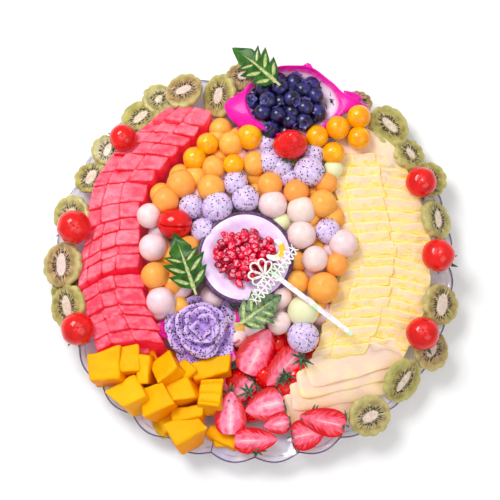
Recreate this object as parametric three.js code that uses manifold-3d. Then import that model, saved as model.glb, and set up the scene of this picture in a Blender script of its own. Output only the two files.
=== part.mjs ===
// Fruit platter: a round scalloped glass plate, with cut fruit built up in sections round a coconut bowl.
// Millimetres, +Z up. The origin is the centre of the plate's flat foot, and -Y is the front of the plate.
import * as THREE from 'three';
import { ConvexGeometry } from 'three/addons/geometries/ConvexGeometry.js';
import { mergeVertices } from 'three/addons/utils/BufferGeometryUtils.js';
import Module from 'manifold-3d';

const wasm = await Module();
wasm.setup();

// ---- driving dimensions ----
const GAP = 0.35; // clearance kept between two touching pieces
const PLATE = {
  foot: 112, floor: 128, cusp: 193, swell: 6, scallops: 28, floorTop: 5, rimUnder: 18, rimTop: 23.5,
};
const COCONUT = { x: -9, y: 0, rimZ: 52, radius: 47, mouth: 33, bowl: 27, lean: 4, toward: 40 };
const DRAGON = { x: 38, y: 156, rimZ: 52, long: 56, wide: 36, deep: 34, wall: 7 };
const ROSE = { x: -53, y: -69, base: 6, cup: 27 };
const LEAF = { thick: 1.4, teeth: 5 };
const KIWI = { thick: 6.5, lobes: 9, swell: 1.2 };
const TOPPER = { x: 18.5, y: -19, z: 66, turn: 53, tilt: 7, thick: 3, stick: 95, stickWide: 6, word: 70 };
const MELON_TOP = 43;
const PINE_TOP = 40;
const SPACE = { reach: 260, top: 160 }; // well past all the food
const FLOOR = PLATE.floorTop + GAP;
const BED_TOP = 40; // the packed lower layer of a heap of balls

// ---- finishes: one flat colour for each kind of fruit ----
const finish = (color, roughness = 0.5, metalness = 0) => ({ color, roughness, metalness });
const FINISH = {
  glass: finish(0xe6e2f2, 0.08),
  coconut: finish(0xe8d4f2, 0.5),
  arils: finish(0xc8102e, 0.2),
  acrylic: finish(0xf2f4f8, 0.1),
  dragonSkin: finish(0xe81a90, 0.45),
  blueberry: finish(0x2e2a5c, 0.5),
  dragonFlesh: finish(0xd2b4ea, 0.55),
  leaf: finish(0x2f6a20, 0.45),
  tomato: finish(0xe01218, 0.15),
  strawberry: finish(0xe2222e, 0.35),
  kiwi: finish(0xb9bd72, 0.45),
  mango: finish(0xfcb814, 0.4),
  golden: finish(0xfca40a, 0.2),
  balls: finish(0xf8c078, 0.4),
  watermelon: finish(0xf2566e, 0.45),
  pineapple: finish(0xf8e29a, 0.45),
};

// ---- closed solids from three.js geometry ----
const deg = THREE.MathUtils.degToRad;
const vec2 = (x, y) => new THREE.Vector2(x, y);

// the closed solid of a geometry, with its shared corners merged
function solid(geometry) {
  const bare = geometry.clone();
  bare.deleteAttribute('normal');
  bare.deleteAttribute('uv');
  const merged = mergeVertices(bare, 1e-4);
  const corners = merged.index.array;
  const triangles = [];
  for (let i = 0; i < corners.length; i += 3) {
    const [a, b, c] = corners.slice(i, i + 3);
    if (a !== b && b !== c && c !== a) triangles.push(a, b, c);
  }
  const vertProperties = new Float32Array(merged.attributes.position.array);
  const triVerts = new Uint32Array(triangles);
  return new wasm.Manifold(new wasm.Mesh({ numProp: 3, vertProperties, triVerts }));
}

// a profile of [radius, height] pairs turned about Z
function turned(profile, segments) {
  const points = profile.map(([radius, height]) => vec2(radius, height));
  return solid(new THREE.LatheGeometry(points, segments).rotateX(Math.PI / 2));
}

// an ellipsoid with half sizes a, b and c
function ellipsoid(a, b, c, around = 12, up = 8) {
  return solid(new THREE.SphereGeometry(1, around, up).rotateX(Math.PI / 2).scale(a, b, c));
}

const block = (x, y, z) => solid(new THREE.BoxGeometry(x, y, z));
const joined = (solids) => solids.reduce((sum, next) => sum.add(next));

// an outline of points thickened about z = 0
function sheet(points, thick, holes = []) {
  const shape = new THREE.Shape(points);
  shape.holes = holes.map((hole) => new THREE.Path(hole));
  return new THREE.ExtrudeGeometry(shape, { depth: thick, bevelEnabled: false }).translate(0, 0, -thick / 2);
}

// a round outline whose radius follows a function of the angle
function roundOutline(steps, radiusAt) {
  return Array.from({ length: steps }, (_, i) => {
    const angle = (2 * Math.PI * i) / steps;
    return vec2(radiusAt(angle) * Math.cos(angle), radiusAt(angle) * Math.sin(angle));
  });
}

// ---- places ----
// turned about its own upright, then leaned by some degrees toward a compass direction
function place(x, y, z, turn = 0, lean = 0, toward = 0) {
  const axis = new THREE.Vector3(-Math.sin(deg(toward)), Math.cos(deg(toward)), 0);
  const tip = new THREE.Quaternion().setFromAxisAngle(axis, deg(lean));
  const spin = new THREE.Quaternion().setFromAxisAngle(new THREE.Vector3(0, 0, 1), deg(turn));
  const size = new THREE.Vector3(1, 1, 1);
  return new THREE.Matrix4().compose(new THREE.Vector3(x, y, z), tip.multiply(spin), size);
}

// a place given by its angle and radius from the plate's centre, leaned outward unless told otherwise
function polar(angle, radius, z, turn = 0, lean = 0, toward = angle) {
  return place(radius * Math.cos(deg(angle)), radius * Math.sin(deg(angle)), z, turn, lean, toward);
}

// ---- the list of pieces: an earlier piece keeps its shape, and a later one is cut back from it ----
const pieces = [];
const add = (name, kind, at, form) => pieces.push({ name, kind, at, form });

// ---- plate ----
function plate() {
  const { foot, floor, cusp, floorTop, rimUnder, rimTop } = PLATE;
  const profile = [[0, 0], [foot, 0], [cusp, rimUnder], [cusp - 1, rimTop], [floor, floorTop], [0, floorTop]];
  const points = profile.map(([radius, height]) => vec2(radius, height));
  const geometry = new THREE.LatheGeometry(points, PLATE.scallops * 3).rotateX(Math.PI / 2);
  const spots = geometry.attributes.position;
  for (let i = 0; i < spots.count; i += 1) {
    const [x, y] = [spots.getX(i), spots.getY(i)];
    const reach = Math.max(0, (Math.hypot(x, y) - floor) / (cusp - floor));
    const bulge = Math.abs(Math.sin((Math.atan2(y, x) * PLATE.scallops) / 2));
    const stretch = 1 + (PLATE.swell / cusp) * bulge * reach ** 2;
    spots.setXY(i, x * stretch, y * stretch);
  }
  return solid(geometry);
}

// ---- the space that the food may fill: all that lies above the plate ----
function spaceAbovePlate() {
  const { floor, cusp, floorTop, rimTop, scallops } = PLATE;
  const profile = [
    [0, floorTop + GAP], [floor, floorTop + GAP], [cusp - 1, rimTop + GAP],
    [SPACE.reach, rimTop + GAP], [SPACE.reach, SPACE.top], [0, SPACE.top],
  ];
  return turned(profile, scallops);
}
const aboveThePlate = spaceAbovePlate();

// ---- coconut half with pomegranate arils ----
function coconutHalf(grow) {
  const { radius, mouth, bowl } = COCONUT;
  const outer = [0.3, 0.6, 0.85, 1].map((t) => [
    (radius + grow) * Math.sin((t * Math.PI) / 2), -(radius + grow) * Math.cos((t * Math.PI) / 2),
  ]);
  const inner = [1, 0.7, 0.4].map((t) => [
    (mouth - grow) * Math.sin((t * Math.PI) / 2), -(bowl - grow) * Math.cos((t * Math.PI) / 2),
  ]);
  const rim = [[radius - 1 + grow, 1.5 + grow], [mouth + 1 - grow, 1.5 + grow]];
  return turned([[0, -radius - grow], ...outer, ...rim, ...inner, [0, -bowl + grow]], 20);
}
const onCoconut = (rise) => place(COCONUT.x, COCONUT.y, COCONUT.rimZ + rise, 0, COCONUT.lean, COCONUT.toward);
add('coconut_half', 'coconut', onCoconut(0), coconutHalf);

// a bumpy heap: a dome over a rounded lower half, with berries of one pitch standing proud all round
function bumpyHeap({ a, b, dome, depth, pitch, bump }, grow) {
  const geometry = new THREE.SphereGeometry(1, 16, 8).rotateX(Math.PI / 2);
  const spots = geometry.attributes.position;
  for (let i = 0; i < spots.count; i += 1) {
    const [x, y, z] = [spots.getX(i) * a, spots.getY(i) * b, spots.getZ(i)];
    const wave = Math.cos((2 * Math.PI * x) / pitch) * Math.cos((2 * Math.PI * y) / pitch);
    const rise = z > 0.1 ? bump * wave : 0;
    const out = 1 + grow / Math.min(a, b);
    spots.setXYZ(i, x * out, y * out, z > 0 ? z * dome + rise + grow : z * depth - grow);
  }
  return solid(geometry);
}
const ARILS = {
  a: COCONUT.mouth - 1, b: COCONUT.mouth - 1, dome: 9, depth: COCONUT.bowl - 2, pitch: 9, bump: 1.2,
};
add('pomegranate_arils', 'arils', onCoconut(1), (grow) => bumpyHeap(ARILS, grow));

// ---- dragon fruit half filled with blueberries ----
// a thin pointed scale of the skin, standing along +X
function skinScale(length, wide, thick, grow) {
  const cone = new THREE.ConeGeometry(wide / 2 + grow, length + grow, 6).rotateZ(-Math.PI / 2);
  return solid(cone.scale(1, 1, (thick + 2 * grow) / wide));
}

function dragonShell(grow) {
  const { long, wide, deep, wall } = DRAGON;
  const above = block(300, 300, 200).translate([0, 0, 100 + grow]);
  const skin = ellipsoid(long + grow, wide + grow, deep + grow, 16, 10).subtract(above);
  const hollow = ellipsoid(long - wall - grow, wide - wall - grow, deep - wall - grow, 14, 8);
  const scales = [
    skinScale(40, 34, 6, grow).rotate([0, -8, 4]).translate([52, 2, -3]),
    skinScale(30, 40, 6, grow).rotate([0, -8, 186]).translate([-54, -6, -4]),
    skinScale(26, 32, 6, grow).rotate([0, -14, 66]).translate([17, 28, -4]),
  ];
  return joined([skin, ...scales]).subtract(hollow);
}
add('dragon_fruit_half', 'dragonSkin', place(DRAGON.x, DRAGON.y, DRAGON.rimZ), dragonShell);

const BLUES = { a: 39, b: 27, dome: 15, depth: DRAGON.deep - DRAGON.wall - 2, pitch: 15, bump: 2.4 };
add('blueberries', 'blueberry', place(DRAGON.x - 6, DRAGON.y + 1, DRAGON.rimZ + 1),
  (grow) => bumpyHeap(BLUES, grow));

// ---- dragon fruit carved as a rose ----
function rose(grow) {
  const cup = ellipsoid(ROSE.cup + grow, ROSE.cup + grow, 26 + grow, 12, 6).translate([0, 0, 26]);
  const petals = [];
  const ring = (count, radius, lean, wide, tall, z) => {
    for (let i = 0; i < count; i += 1) {
      const petal = ellipsoid(wide / 2 + grow, 3 + grow, tall / 2 + grow, 6, 4);
      const turn = (360 * i) / count + radius * 3;
      petals.push(petal.rotate([lean, 0, 0]).translate([0, -radius, z]).rotate([0, 0, turn]));
    }
  };
  ring(6, 22, 52, 34, 34, 34);
  ring(3, 11, 26, 30, 26, 42);
  ring(1, 0, 0, 16, 20, 45);
  return joined([cup, ...petals]);
}
add('dragon_fruit_rose', 'dragonFlesh', place(ROSE.x, ROSE.y, ROSE.base), rose);

// ---- carved leaves ----
// a saw-toothed leaf lying along +Y from its stalk end, arched along its length and dished at the midrib
function leaf(length, wide, arch, grow) {
  const edge = (side) => Array.from({ length: 2 * LEAF.teeth - 1 }, (_, i) => {
    const along = (i + 0.6) / (2 * LEAF.teeth);
    const swell = Math.sin(Math.PI * (0.16 + 0.84 * along) ** 0.8);
    const tooth = i % 2 ? 0.72 : 1;
    return vec2(side * ((wide / 2) * swell * tooth + grow), length * along - (i % 2 ? 0 : 3));
  });
  const stalk = [vec2(-2 - grow, -grow), vec2(2 + grow, -grow)];
  const outline = [...stalk, ...edge(1), vec2(0, length + grow), ...edge(-1).reverse()];
  const geometry = sheet(outline, LEAF.thick + 2 * grow);
  const spots = geometry.attributes.position;
  for (let i = 0; i < spots.count; i += 1) {
    const across = spots.getX(i) / (wide / 2);
    const along = spots.getY(i) / length;
    spots.setZ(i, spots.getZ(i) + arch * Math.sin(Math.PI * along) + 3 * across * across);
  }
  return solid(geometry);
}
add('leaf_back', 'leaf', place(22, 172, 69, 50, 3, 140), (grow) => leaf(58, 34, 5, grow));
add('leaf_left', 'leaf', place(-58, -34, 60, 20, 4, 290), (grow) => leaf(60, 46, 5, grow));
add('leaf_front', 'leaf', place(-15, -66, 56, -55, 0, 0), (grow) => leaf(50, 38, 4, grow));

// ---- acrylic topper: a crescent and a looped flourish on a flat stick ----
function topper(grow) {
  const thick = TOPPER.thick + 2 * grow;
  const bar = block(TOPPER.stickWide + 2 * grow, TOPPER.stick + grow, thick);
  const stick = bar.translate([0, -TOPPER.stick / 2, 0]);
  const wave = roundOutline(20, (angle) => 1 + 0.14 * Math.cos(angle * 10));
  const band = wave.map((spot) => vec2(spot.x * (TOPPER.word / 2 + grow), spot.y * (7 + grow)));
  const loop = roundOutline(6, () => 3.4 - grow);
  const loops = [-24, -12, 0, 12, 24].map((x) => loop.map((spot) => vec2(x + spot.x, spot.y)));
  const word = solid(sheet(band, thick, loops));
  const bow = roundOutline(10, () => 9 + grow).map((spot) => vec2(spot.x * 1.5 - 3, spot.y + 13.5));
  const bowHole = roundOutline(6, () => 5 - grow).map((spot) => vec2(spot.x * 1.5 - 3, spot.y + 13.5));
  const flourish = solid(sheet(bow, thick, [bowHole]));
  const moon = solid(sheet(roundOutline(14, () => 10 + grow), thick));
  const bite = solid(sheet(roundOutline(10, () => 8 - grow), thick + 2)).translate([-2, 4.5, 0]);
  const crescent = moon.subtract(bite).translate([18, 14, 0]);
  return joined([stick, word, flourish, crescent]);
}
const topperPlace = place(TOPPER.x, TOPPER.y, TOPPER.z, TOPPER.turn, TOPPER.tilt, TOPPER.turn - 90);
add('topper', 'acrylic', topperPlace, topper);

// ---- cherry tomatoes and the whole strawberry ----
function tomato(radius, grow) {
  const r = radius + grow;
  const profile = [[0, -0.95], [0.6, -0.8], [0.97, -0.22], [0.94, 0.36], [0.56, 0.82], [0, 0.94]];
  return turned(profile.map(([out, up]) => [out * r, up * r]), 10);
}
const TOMATOES = [ // angle, radius from the centre, height, size
  [137, 180, 45, 13.5], [170, 181, 47, 17], [202, 186, 46, 16.5], [25, 182, 46, 15.5], [1, 180, 47, 16.5],
  [335.5, 179, 47, 16.5], [156.5, 86, 50, 16.5],
];
TOMATOES.forEach(([angle, radius, z, size], i) => {
  add(`cherry_tomato_${i + 1}`, 'tomato', polar(angle, radius, z, 0, 10), (grow) => tomato(size, grow));
});

// a strawberry with its tip along +Y; a half is cut through the core with the cut side up
function strawberry({ long, wide, half = true, calyx = true }, grow) {
  const profile = [[0, 0.05], [0.6, 0], [0.95, 0.16], [1, 0.34], [0.8, 0.64], [0.42, 0.9], [0, 1]];
  const points = profile.map(([out, along]) => {
    const radius = out && out * (wide / 2) + grow;
    return vec2(radius, long * along + grow * Math.sign(along - 0.3));
  });
  let berry = solid(new THREE.LatheGeometry(points, 8));
  if (calyx) {
    const star = roundOutline(10, (angle) => (wide / 2) * (0.62 + 0.22 * Math.cos(5 * angle)) + grow);
    const sepals = solid(sheet(star, 1.6 + 2 * grow).rotateX(Math.PI / 2)).translate([0, 1.2, 0]);
    berry = berry.add(sepals);
  }
  return half ? berry.subtract(block(200, 200, 100).translate([0, 0, 50 + grow])) : berry;
}
const WHOLE = { long: 36, wide: 31, half: false };
add('strawberry_whole', 'strawberry', place(34, 116, 45, 0, -78, 100), (grow) => strawberry(WHOLE, grow));

// ---- strawberry halves at the front, given at their calyx ends ----
const HALVES = [ // x, y, z, direction of the tip, lean back, sideways tilt, length, width, calyx
  [-10, -112, 27, 62, 12, 30, 50, 38, false],
  [41, -90, 30, 226, 6, -26, 48, 26, true],
  [-36, -112, 22, 285, 0, 20, 26, 22, true],
  [-2, -118, 24, 225, 4, -20, 30, 24, true],
  [-24, -171, 33, 88, 10, 10, 42, 31, false],
  [29, -138, 30, 195, 8, -14, 40, 33, true],
  [-20, -177, 34, 2, 4, 12, 42, 26, false],
  [34, -160, 30, 190, 4, -12, 26, 22, false],
  [35, -174, 33, 12, 6, 16, 34, 31, true],
  [88, -165, 33, 168, 4, -18, 44, 28, true],
];
HALVES.forEach(([x, y, z, tip, back, side, long, wide, calyx], i) => {
  const at = place(x, y, z, tip - 90, -back, tip).multiply(new THREE.Matrix4().makeRotationY(deg(side)));
  add(`strawberry_half_${i + 1}`, 'strawberry', at, (grow) => strawberry({ long, wide, calyx }, grow));
});

// ---- kiwi slices round the rim ----
function kiwiSlice(across, grow) {
  const radiusAt = (angle) => across / 2 + grow - KIWI.swell + KIWI.swell * Math.cos(KIWI.lobes * angle);
  return solid(sheet(roundOutline(2 * KIWI.lobes, radiusAt), KIWI.thick + 2 * grow));
}
const KIWIS = [ // angle, radius from the centre, height, lean, direction of the lean, size
  [165.5, 187, 32, 14, 165, 42], [180.5, 190, 34, 30, 180, 45], [187.5, 187, 26, 12, 188, 36],
  [193, 190, 35, 30, 193, 41], [152.5, 182, 31, 48, 152, 40], [142.3, 186, 31, 26, 142, 36],
  [127.5, 184, 34, 24, 128, 44], [119.8, 193, 27, 10, 120, 36], [112, 188, 34, 22, 112, 40],
  [101.6, 173, 36, 38, 190, 42], [93.5, 189, 31, 18, 93, 36], [56, 188, 31, 16, 56, 30],
  [46.3, 191, 33, 26, 46, 40], [35.7, 186, 34, 38, 36, 38], [26, 191, 30, 16, 26, 40],
  [13.5, 184, 34, 46, 13, 42], [347.6, 188, 33, 32, 347, 42], [333.8, 192, 31, 16, 333, 40],
  [321.6, 185, 34, 40, 321, 44], [307.2, 187, 33, 18, 307, 42],
];
KIWIS.forEach(([angle, radius, z, lean, toward, size], i) => {
  const at = polar(angle, radius, z, angle, lean, toward);
  add(`kiwi_slice_${i + 1}`, 'kiwi', at, (grow) => kiwiSlice(size, grow));
});

// ---- heaps of melon balls and dragon fruit balls, with golden berries among them ----
// the balls stand proud of a bed that fills the space between them down to the plate
function ballHeap(balls, grow) {
  const levels = [FLOOR - grow, BED_TOP + grow];
  const bed = balls.flatMap(([x, y]) => levels.map((z) => new THREE.Vector3(x, y, z)));
  const round = balls.map(([x, y, top, across]) => {
    const r = 0.46 * across + grow;
    return ellipsoid(r, r, r, 6, 4).rotate([0, 0, 7 * x]).translate([x, y, top - across / 2]);
  });
  return joined([solid(new ConvexGeometry(bed)), ...round]);
}
const BALL_HEAPS = { // x, y, top, size
  ball_heap_north_west: [
    [-46, 116, 59, 22], [-60, 102, 59, 24], [-23, 116, 58, 25], [-40, 94, 58, 25], [-58, 86, 50, 26],
    [-72, 77, 60, 29], [-43, 73, 60, 28], [-87, 60, 58, 27], [-20, 95, 62, 21], [-19, 77, 61, 25],
    [-5, 123, 60, 25], [-62, 53, 61, 26], [-37, 52, 64, 30], [-9, 61, 63, 28], [-50, 29, 60, 25],
  ],
  ball_heap_north_east: [
    [0, 96, 59, 25], [15, 76, 59, 25], [41, 70, 59, 25], [66, 57, 60, 28], [70, 80, 50, 27],
    [53, 87, 65, 31], [56, 106, 53, 26], [15, 97, 62, 26], [13, 119, 50, 22], [18, 56, 60, 29],
    [45, 50, 61, 29], [77, 91, 50, 20], [46, 26, 60, 28], [72, 29, 60, 25], [87, 16, 60, 29],
  ],
  ball_heap_west: [
    [-104, 45, 58, 24], [-99, 14, 59, 27], [-66, 11, 58, 28], [-98, -15, 60, 27],
    [-92, -40, 60, 28],
  ],
  ball_heap_east: [
    [41, -21, 57, 24], [67, -27, 61, 31], [80, -4, 57, 23], [59, 2, 60, 26], [48, -50, 61, 31],
    [25, -36, 56, 23], [24, -62, 54, 24], [48, -76, 60, 31], [46, 2, 48, 26],
  ],
};

// five golden berries touching in a cluster beside the dragon fruit half
const GOLDEN_BERRIES = [ // x, y, top, size
  [62, 125, 59, 25], [82, 132, 60, 25], [102, 142, 61, 26], [101, 122, 58, 25], [76, 109, 58, 25],
];
add('golden_berries', 'golden', place(0, 0, 0), (grow) => joined(GOLDEN_BERRIES.map(([x, y, top, across]) => {
  const r = across / 2 + grow;
  return ellipsoid(r, r, r, 7, 5).translate([x, y, top - across / 2]);
})));
Object.entries(BALL_HEAPS).forEach(([name, balls]) => {
  add(name, 'balls', place(0, 0, 0), (grow) => ballHeap(balls, grow));
});

// ---- mango cut in chunks ----
function chunk(long, wide, tall, grow) {
  const round = 5;
  const [a, b] = [long / 2 + grow, wide / 2 + grow];
  const outline = [
    vec2(-a + round, -b), vec2(a - round, -b), vec2(a, -b + round), vec2(a, b - round),
    vec2(a - round, b), vec2(-a + round, b), vec2(-a, b - round), vec2(-a, -b + round),
  ];
  return solid(sheet(outline, tall + 2 * grow));
}
const MANGO_HEAPS = { // x, y, top, turn, length, width
  mango_back: [
    [-145, -99, 45, 12, 34, 32], [-124, -99, 44, -4, 26, 28], [-107, -101, 46, 3, 18, 30],
    [-88, -103, 48, 24, 26, 36], [-118, -131, 46, -8, 33, 40], [-93, -136, 48, 14, 36, 38],
    [-68, -128, 45, 30, 33, 32],
  ],
  mango_front: [
    [-68, -165, 44, -6, 40, 33], [-36, -167, 42, 8, 28, 25], [-43, -136, 45, -10, 28, 38],
    [-42, -110, 34, 8, 42, 22],
  ],
};
Object.entries(MANGO_HEAPS).forEach(([name, chunks]) => {
  const form = (grow) => joined(chunks.map(([x, y, top, turn, long, wide]) => {
    const tall = top - FLOOR;
    return chunk(long, wide, tall, grow).rotate([4, -3, turn]).translate([x, y, top - tall / 2]);
  }));
  add(name, 'mango', place(0, 0, 0), form);
});

// ---- fans of upright slices, each row a slice seen from above ----
// rows follow a curve through their inner ends and run outward at a heading that turns along the fan
function fan({ rows, inner, heading, long, top, thick }, grow) {
  const path = new THREE.CatmullRomCurve3(inner.map(([x, y]) => new THREE.Vector3(x, y, 0)));
  const blend = (range, t) => THREE.MathUtils.lerp(range[0], range[1], t);
  const slices = [];
  for (let i = 0; i < rows; i += 1) {
    const t = i / (rows - 1);
    const spot = path.getPointAt(t);
    const reach = blend(long, t) + Math.sin(Math.PI * t) * long[2];
    const tall = top - FLOOR + (i % 2);
    slices.push(block(reach + 2 * grow, thick + 2 * grow, tall + 2 * grow)
      .translate([reach / 2, 0, 0])
      .rotate([0, 0, blend(heading, t)])
      .translate([spot.x, spot.y, FLOOR + tall / 2]));
  }
  return joined(slices);
}
const MELON_FANS = {
  watermelon_upper: {
    rows: 8, inner: [[-115, 58], [-94, 97], [-68, 124], [-40, 142]], heading: [184, 168], long: [46, 48, 8],
    top: MELON_TOP, thick: 16.5,
  },
  watermelon_middle: {
    rows: 4, inner: [[-113, 42], [-114, 3]], heading: [182, 180], long: [52, 60, 0],
    top: MELON_TOP, thick: 14.4,
  },
  watermelon_lower: {
    rows: 5, inner: [[-109, -15], [-100, -46], [-89, -72]], heading: [187, 195], long: [54, 58, 6],
    top: MELON_TOP, thick: 16.2,
  },
};
const PINE_FANS = {
  pineapple_upper: {
    rows: 15, inner: [[110, 122], [90, 92], [86, 40], [92, 6]], heading: [4, -6], long: [36, 78, 8],
    top: PINE_TOP, thick: 9.6,
  },
  pineapple_lower: {
    rows: 16, inner: [[92, -2], [78, -36], [66, -84], [30, -140]], heading: [-4, -12], long: [76, 78, 8],
    top: PINE_TOP, thick: 11.4,
  },
};
function addFans(fans, kind) {
  Object.entries(fans).forEach(([name, rows]) => add(name, kind, place(0, 0, 0), (grow) => fan(rows, grow)));
}
addFans(MELON_FANS, 'watermelon');
addFans(PINE_FANS, 'pineapple');

// ---- fit every piece against the ones before it, and hang it in the group at its own place ----
const placedAt = (form, grow, at) => form(grow).transform(at.elements);

function boxesMeet(one, two) {
  return [0, 1, 2].every((k) => one.min[k] < two.max[k] && two.min[k] < one.max[k]);
}

// the largest body of a solid, without the crumbs that a cut leaves
function mainBody(cut) {
  return cut.decompose().reduce((best, next) => (next.volume() > best.volume() ? next : best));
}

function meshOf(name, kind, at, body) {
  const { vertProperties, triVerts } = body.getMesh();
  const geometry = new THREE.BufferGeometry();
  geometry.setAttribute('position', new THREE.BufferAttribute(vertProperties, 3));
  geometry.setIndex(new THREE.BufferAttribute(triVerts, 1));
  geometry.applyMatrix4(at.clone().invert());
  const mesh = new THREE.Mesh(geometry, new THREE.MeshStandardMaterial(FINISH[kind]));
  mesh.name = name;
  at.decompose(mesh.position, mesh.quaternion, mesh.scale);
  return mesh;
}

const platter = new THREE.Group();
platter.add(meshOf('plate', 'glass', place(0, 0, 0), plate()));
const keptClear = [];
pieces.forEach(({ name, kind, at, form }) => {
  let body = placedAt(form, 0, at).intersect(aboveThePlate);
  keptClear.filter(({ box }) => boxesMeet(box, body.boundingBox())).forEach(({ grown }) => {
    body = body.subtract(grown);
  });
  platter.add(meshOf(name, kind, at, mainBody(body)));
  const grown = placedAt(form, GAP, at);
  keptClear.push({ grown, box: grown.boundingBox() });
});

export default platter;
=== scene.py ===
# Fruit platter: a scalloped glass plate, with cut fruit built up in sections round a coconut bowl.
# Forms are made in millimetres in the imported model's frame, and turn into metres when a piece is made.
import math
from collections import namedtuple

import bmesh
import bpy
import numpy as np
from mathutils import Matrix, Vector


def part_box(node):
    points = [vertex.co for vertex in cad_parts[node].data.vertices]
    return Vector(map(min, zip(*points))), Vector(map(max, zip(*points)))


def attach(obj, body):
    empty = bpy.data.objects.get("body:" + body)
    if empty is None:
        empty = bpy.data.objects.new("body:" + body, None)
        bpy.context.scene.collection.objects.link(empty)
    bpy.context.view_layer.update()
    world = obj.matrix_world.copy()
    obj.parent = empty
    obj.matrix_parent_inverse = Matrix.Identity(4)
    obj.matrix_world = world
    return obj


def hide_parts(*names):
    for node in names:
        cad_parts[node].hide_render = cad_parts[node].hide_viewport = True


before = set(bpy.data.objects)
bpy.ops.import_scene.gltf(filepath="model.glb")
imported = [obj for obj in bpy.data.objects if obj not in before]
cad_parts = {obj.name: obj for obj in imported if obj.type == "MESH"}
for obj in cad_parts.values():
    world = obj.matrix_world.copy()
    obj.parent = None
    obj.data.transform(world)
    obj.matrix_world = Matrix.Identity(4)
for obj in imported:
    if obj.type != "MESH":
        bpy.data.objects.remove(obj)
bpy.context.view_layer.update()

MM = 0.001
FULL_TURN = 2 * math.pi
GOLDEN_ANGLE = math.radians(137.508)
CREASE = math.radians(50)  # edges sharper than this stay sharp


# ---- finishes ----
def rgb(code):
    """The linear colour of a six-figure hex code."""
    parts = [int(code[i:i + 2], 16) / 255 for i in (0, 2, 4)]
    return tuple(c / 12.92 if c <= 0.04045 else ((c + 0.055) / 1.055) ** 2.4 for c in parts) + (1.0,)


class Value:
    """An output of a finish's nodes, so that shader maths can be written as sums and products."""

    def __init__(self, finish, socket):
        self.finish = finish
        self.socket = socket

    def math(self, operation, *terms):
        return self.finish.node("ShaderNodeMath", {"operation": operation}, list(terms))

    def __add__(self, other):
        return self.math("ADD", self, other)

    def __sub__(self, other):
        return self.math("SUBTRACT", self, other)

    def __rsub__(self, other):
        return self.math("SUBTRACT", other, self)

    def __mul__(self, other):
        return self.math("MULTIPLY", self, other)

    def __pow__(self, other):
        return self.math("POWER", self, other)

    def __abs__(self):
        return self.math("ABSOLUTE", self)

    __radd__ = __add__
    __rmul__ = __mul__

    def fade(self, start, end):
        """0 up to start and 1 from end on, with a smooth change between them."""
        bounds = {"Value": self, "From Min": start, "From Max": end}
        return self.finish.node("ShaderNodeMapRange", {"interpolation_type": "SMOOTHSTEP"}, bounds)


class Finish:
    """A material with one Principled shader. Fixed numbers are given by socket, and patterns by nodes."""

    def __init__(self, name, fixed):
        self.material = bpy.data.materials.new(name)
        self.material.use_nodes = True
        self.tree = self.material.node_tree
        self.shader = self.tree.nodes["Principled BSDF"]
        for socket, value in fixed.items():
            self.plug(self.shader.inputs[socket], value)

    def plug(self, socket, value):
        if isinstance(value, Value):
            self.tree.links.new(value.socket, socket)
        else:
            socket.default_value = value

    def wear(self, socket, value):
        self.plug(self.shader.inputs[socket], value)

    def paint(self, colour):
        self.wear("Base Color", colour)

    def node(self, kind, settings, inputs, output=0):
        """A node of any kind: its settings come first, then the numbers or links of its sockets."""
        made = self.tree.nodes.new(kind)
        for name, value in settings.items():
            setattr(made, name, value)
        for key, value in (inputs.items() if isinstance(inputs, dict) else enumerate(inputs)):
            self.plug(made.inputs[key], value)
        return Value(self, made.outputs[output])

    def vector(self, operation, *terms):
        return self.node("ShaderNodeVectorMath", {"operation": operation}, list(terms))

    def mix(self, low, high, share):
        """From one colour to another by a share. A colour may be a hex code."""
        low, high = (rgb(colour) if isinstance(colour, str) else colour for colour in (low, high))
        return self.node("ShaderNodeMix", {"data_type": "RGBA"}, {0: share, 6: low, 7: high}, 2)

    def place(self):
        """Where a point is on the platter, in millimetres."""
        spot = self.node("ShaderNodeTexCoord", {}, {}, "Object")
        return self.vector("MULTIPLY", spot, (1 / MM,) * 3)

    def own(self, name, output="Fac"):
        """A number or vector that each corner of the mesh carries."""
        return self.node("ShaderNodeAttribute", {"attribute_name": name}, {}, output)

    def parts(self, vector):
        """The three numbers of a vector."""
        return [self.node("ShaderNodeSeparateXYZ", {}, [vector], axis) for axis in range(3)]

    def local(self):
        """The three numbers of the place that each corner carries."""
        return self.parts(self.own("local", "Vector"))

    def upward(self, start=0.25, end=0.9):
        """1 where the surface faces up, 0 where it is upright."""
        normal = self.node("ShaderNodeNewGeometry", {}, {}, "Normal")
        return self.parts(normal)[2].fade(start, end)

    def noise(self, size, spot=None, detail=3.0, stretch=(1, 1, 1)):
        """Cloudy noise whose blotches are about size across."""
        spot = self.vector("MULTIPLY", spot or self.place(), tuple(1 / (size * s) for s in stretch))
        return self.node("ShaderNodeTexNoise", {}, {"Vector": spot, "Scale": 1.0, "Detail": detail})

    def clouded(self, low, high, size, start, end):
        """Two colours in cloudy blotches of a size."""
        return self.mix(low, high, self.noise(size).fade(start, end))

    def cells(self, size):
        """Distance to the nearest of many scattered points, size apart."""
        spot = self.vector("MULTIPLY", self.place(), (1 / size,) * 3)
        return self.node("ShaderNodeTexVoronoi", {}, {"Vector": spot, "Scale": 1.0})

    def glow(self, colour, share, strength):
        """Painted glow: emission of a colour by a share. It stands in for light that comes through from inside, where
        the flesh is thin or lies in a crease, and lightens the shade there.
        """
        self.wear("Emission Color", self.mix("000000", colour, share))
        self.wear("Emission Strength", strength)

    def relief(self, height, depth):
        """Bumps of a depth in millimetres from a height between 0 and 1."""
        sockets = {"Strength": 1.0, "Distance": depth * MM, "Height": height}
        self.wear("Normal", self.node("ShaderNodeBump", {}, sockets))


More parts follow.
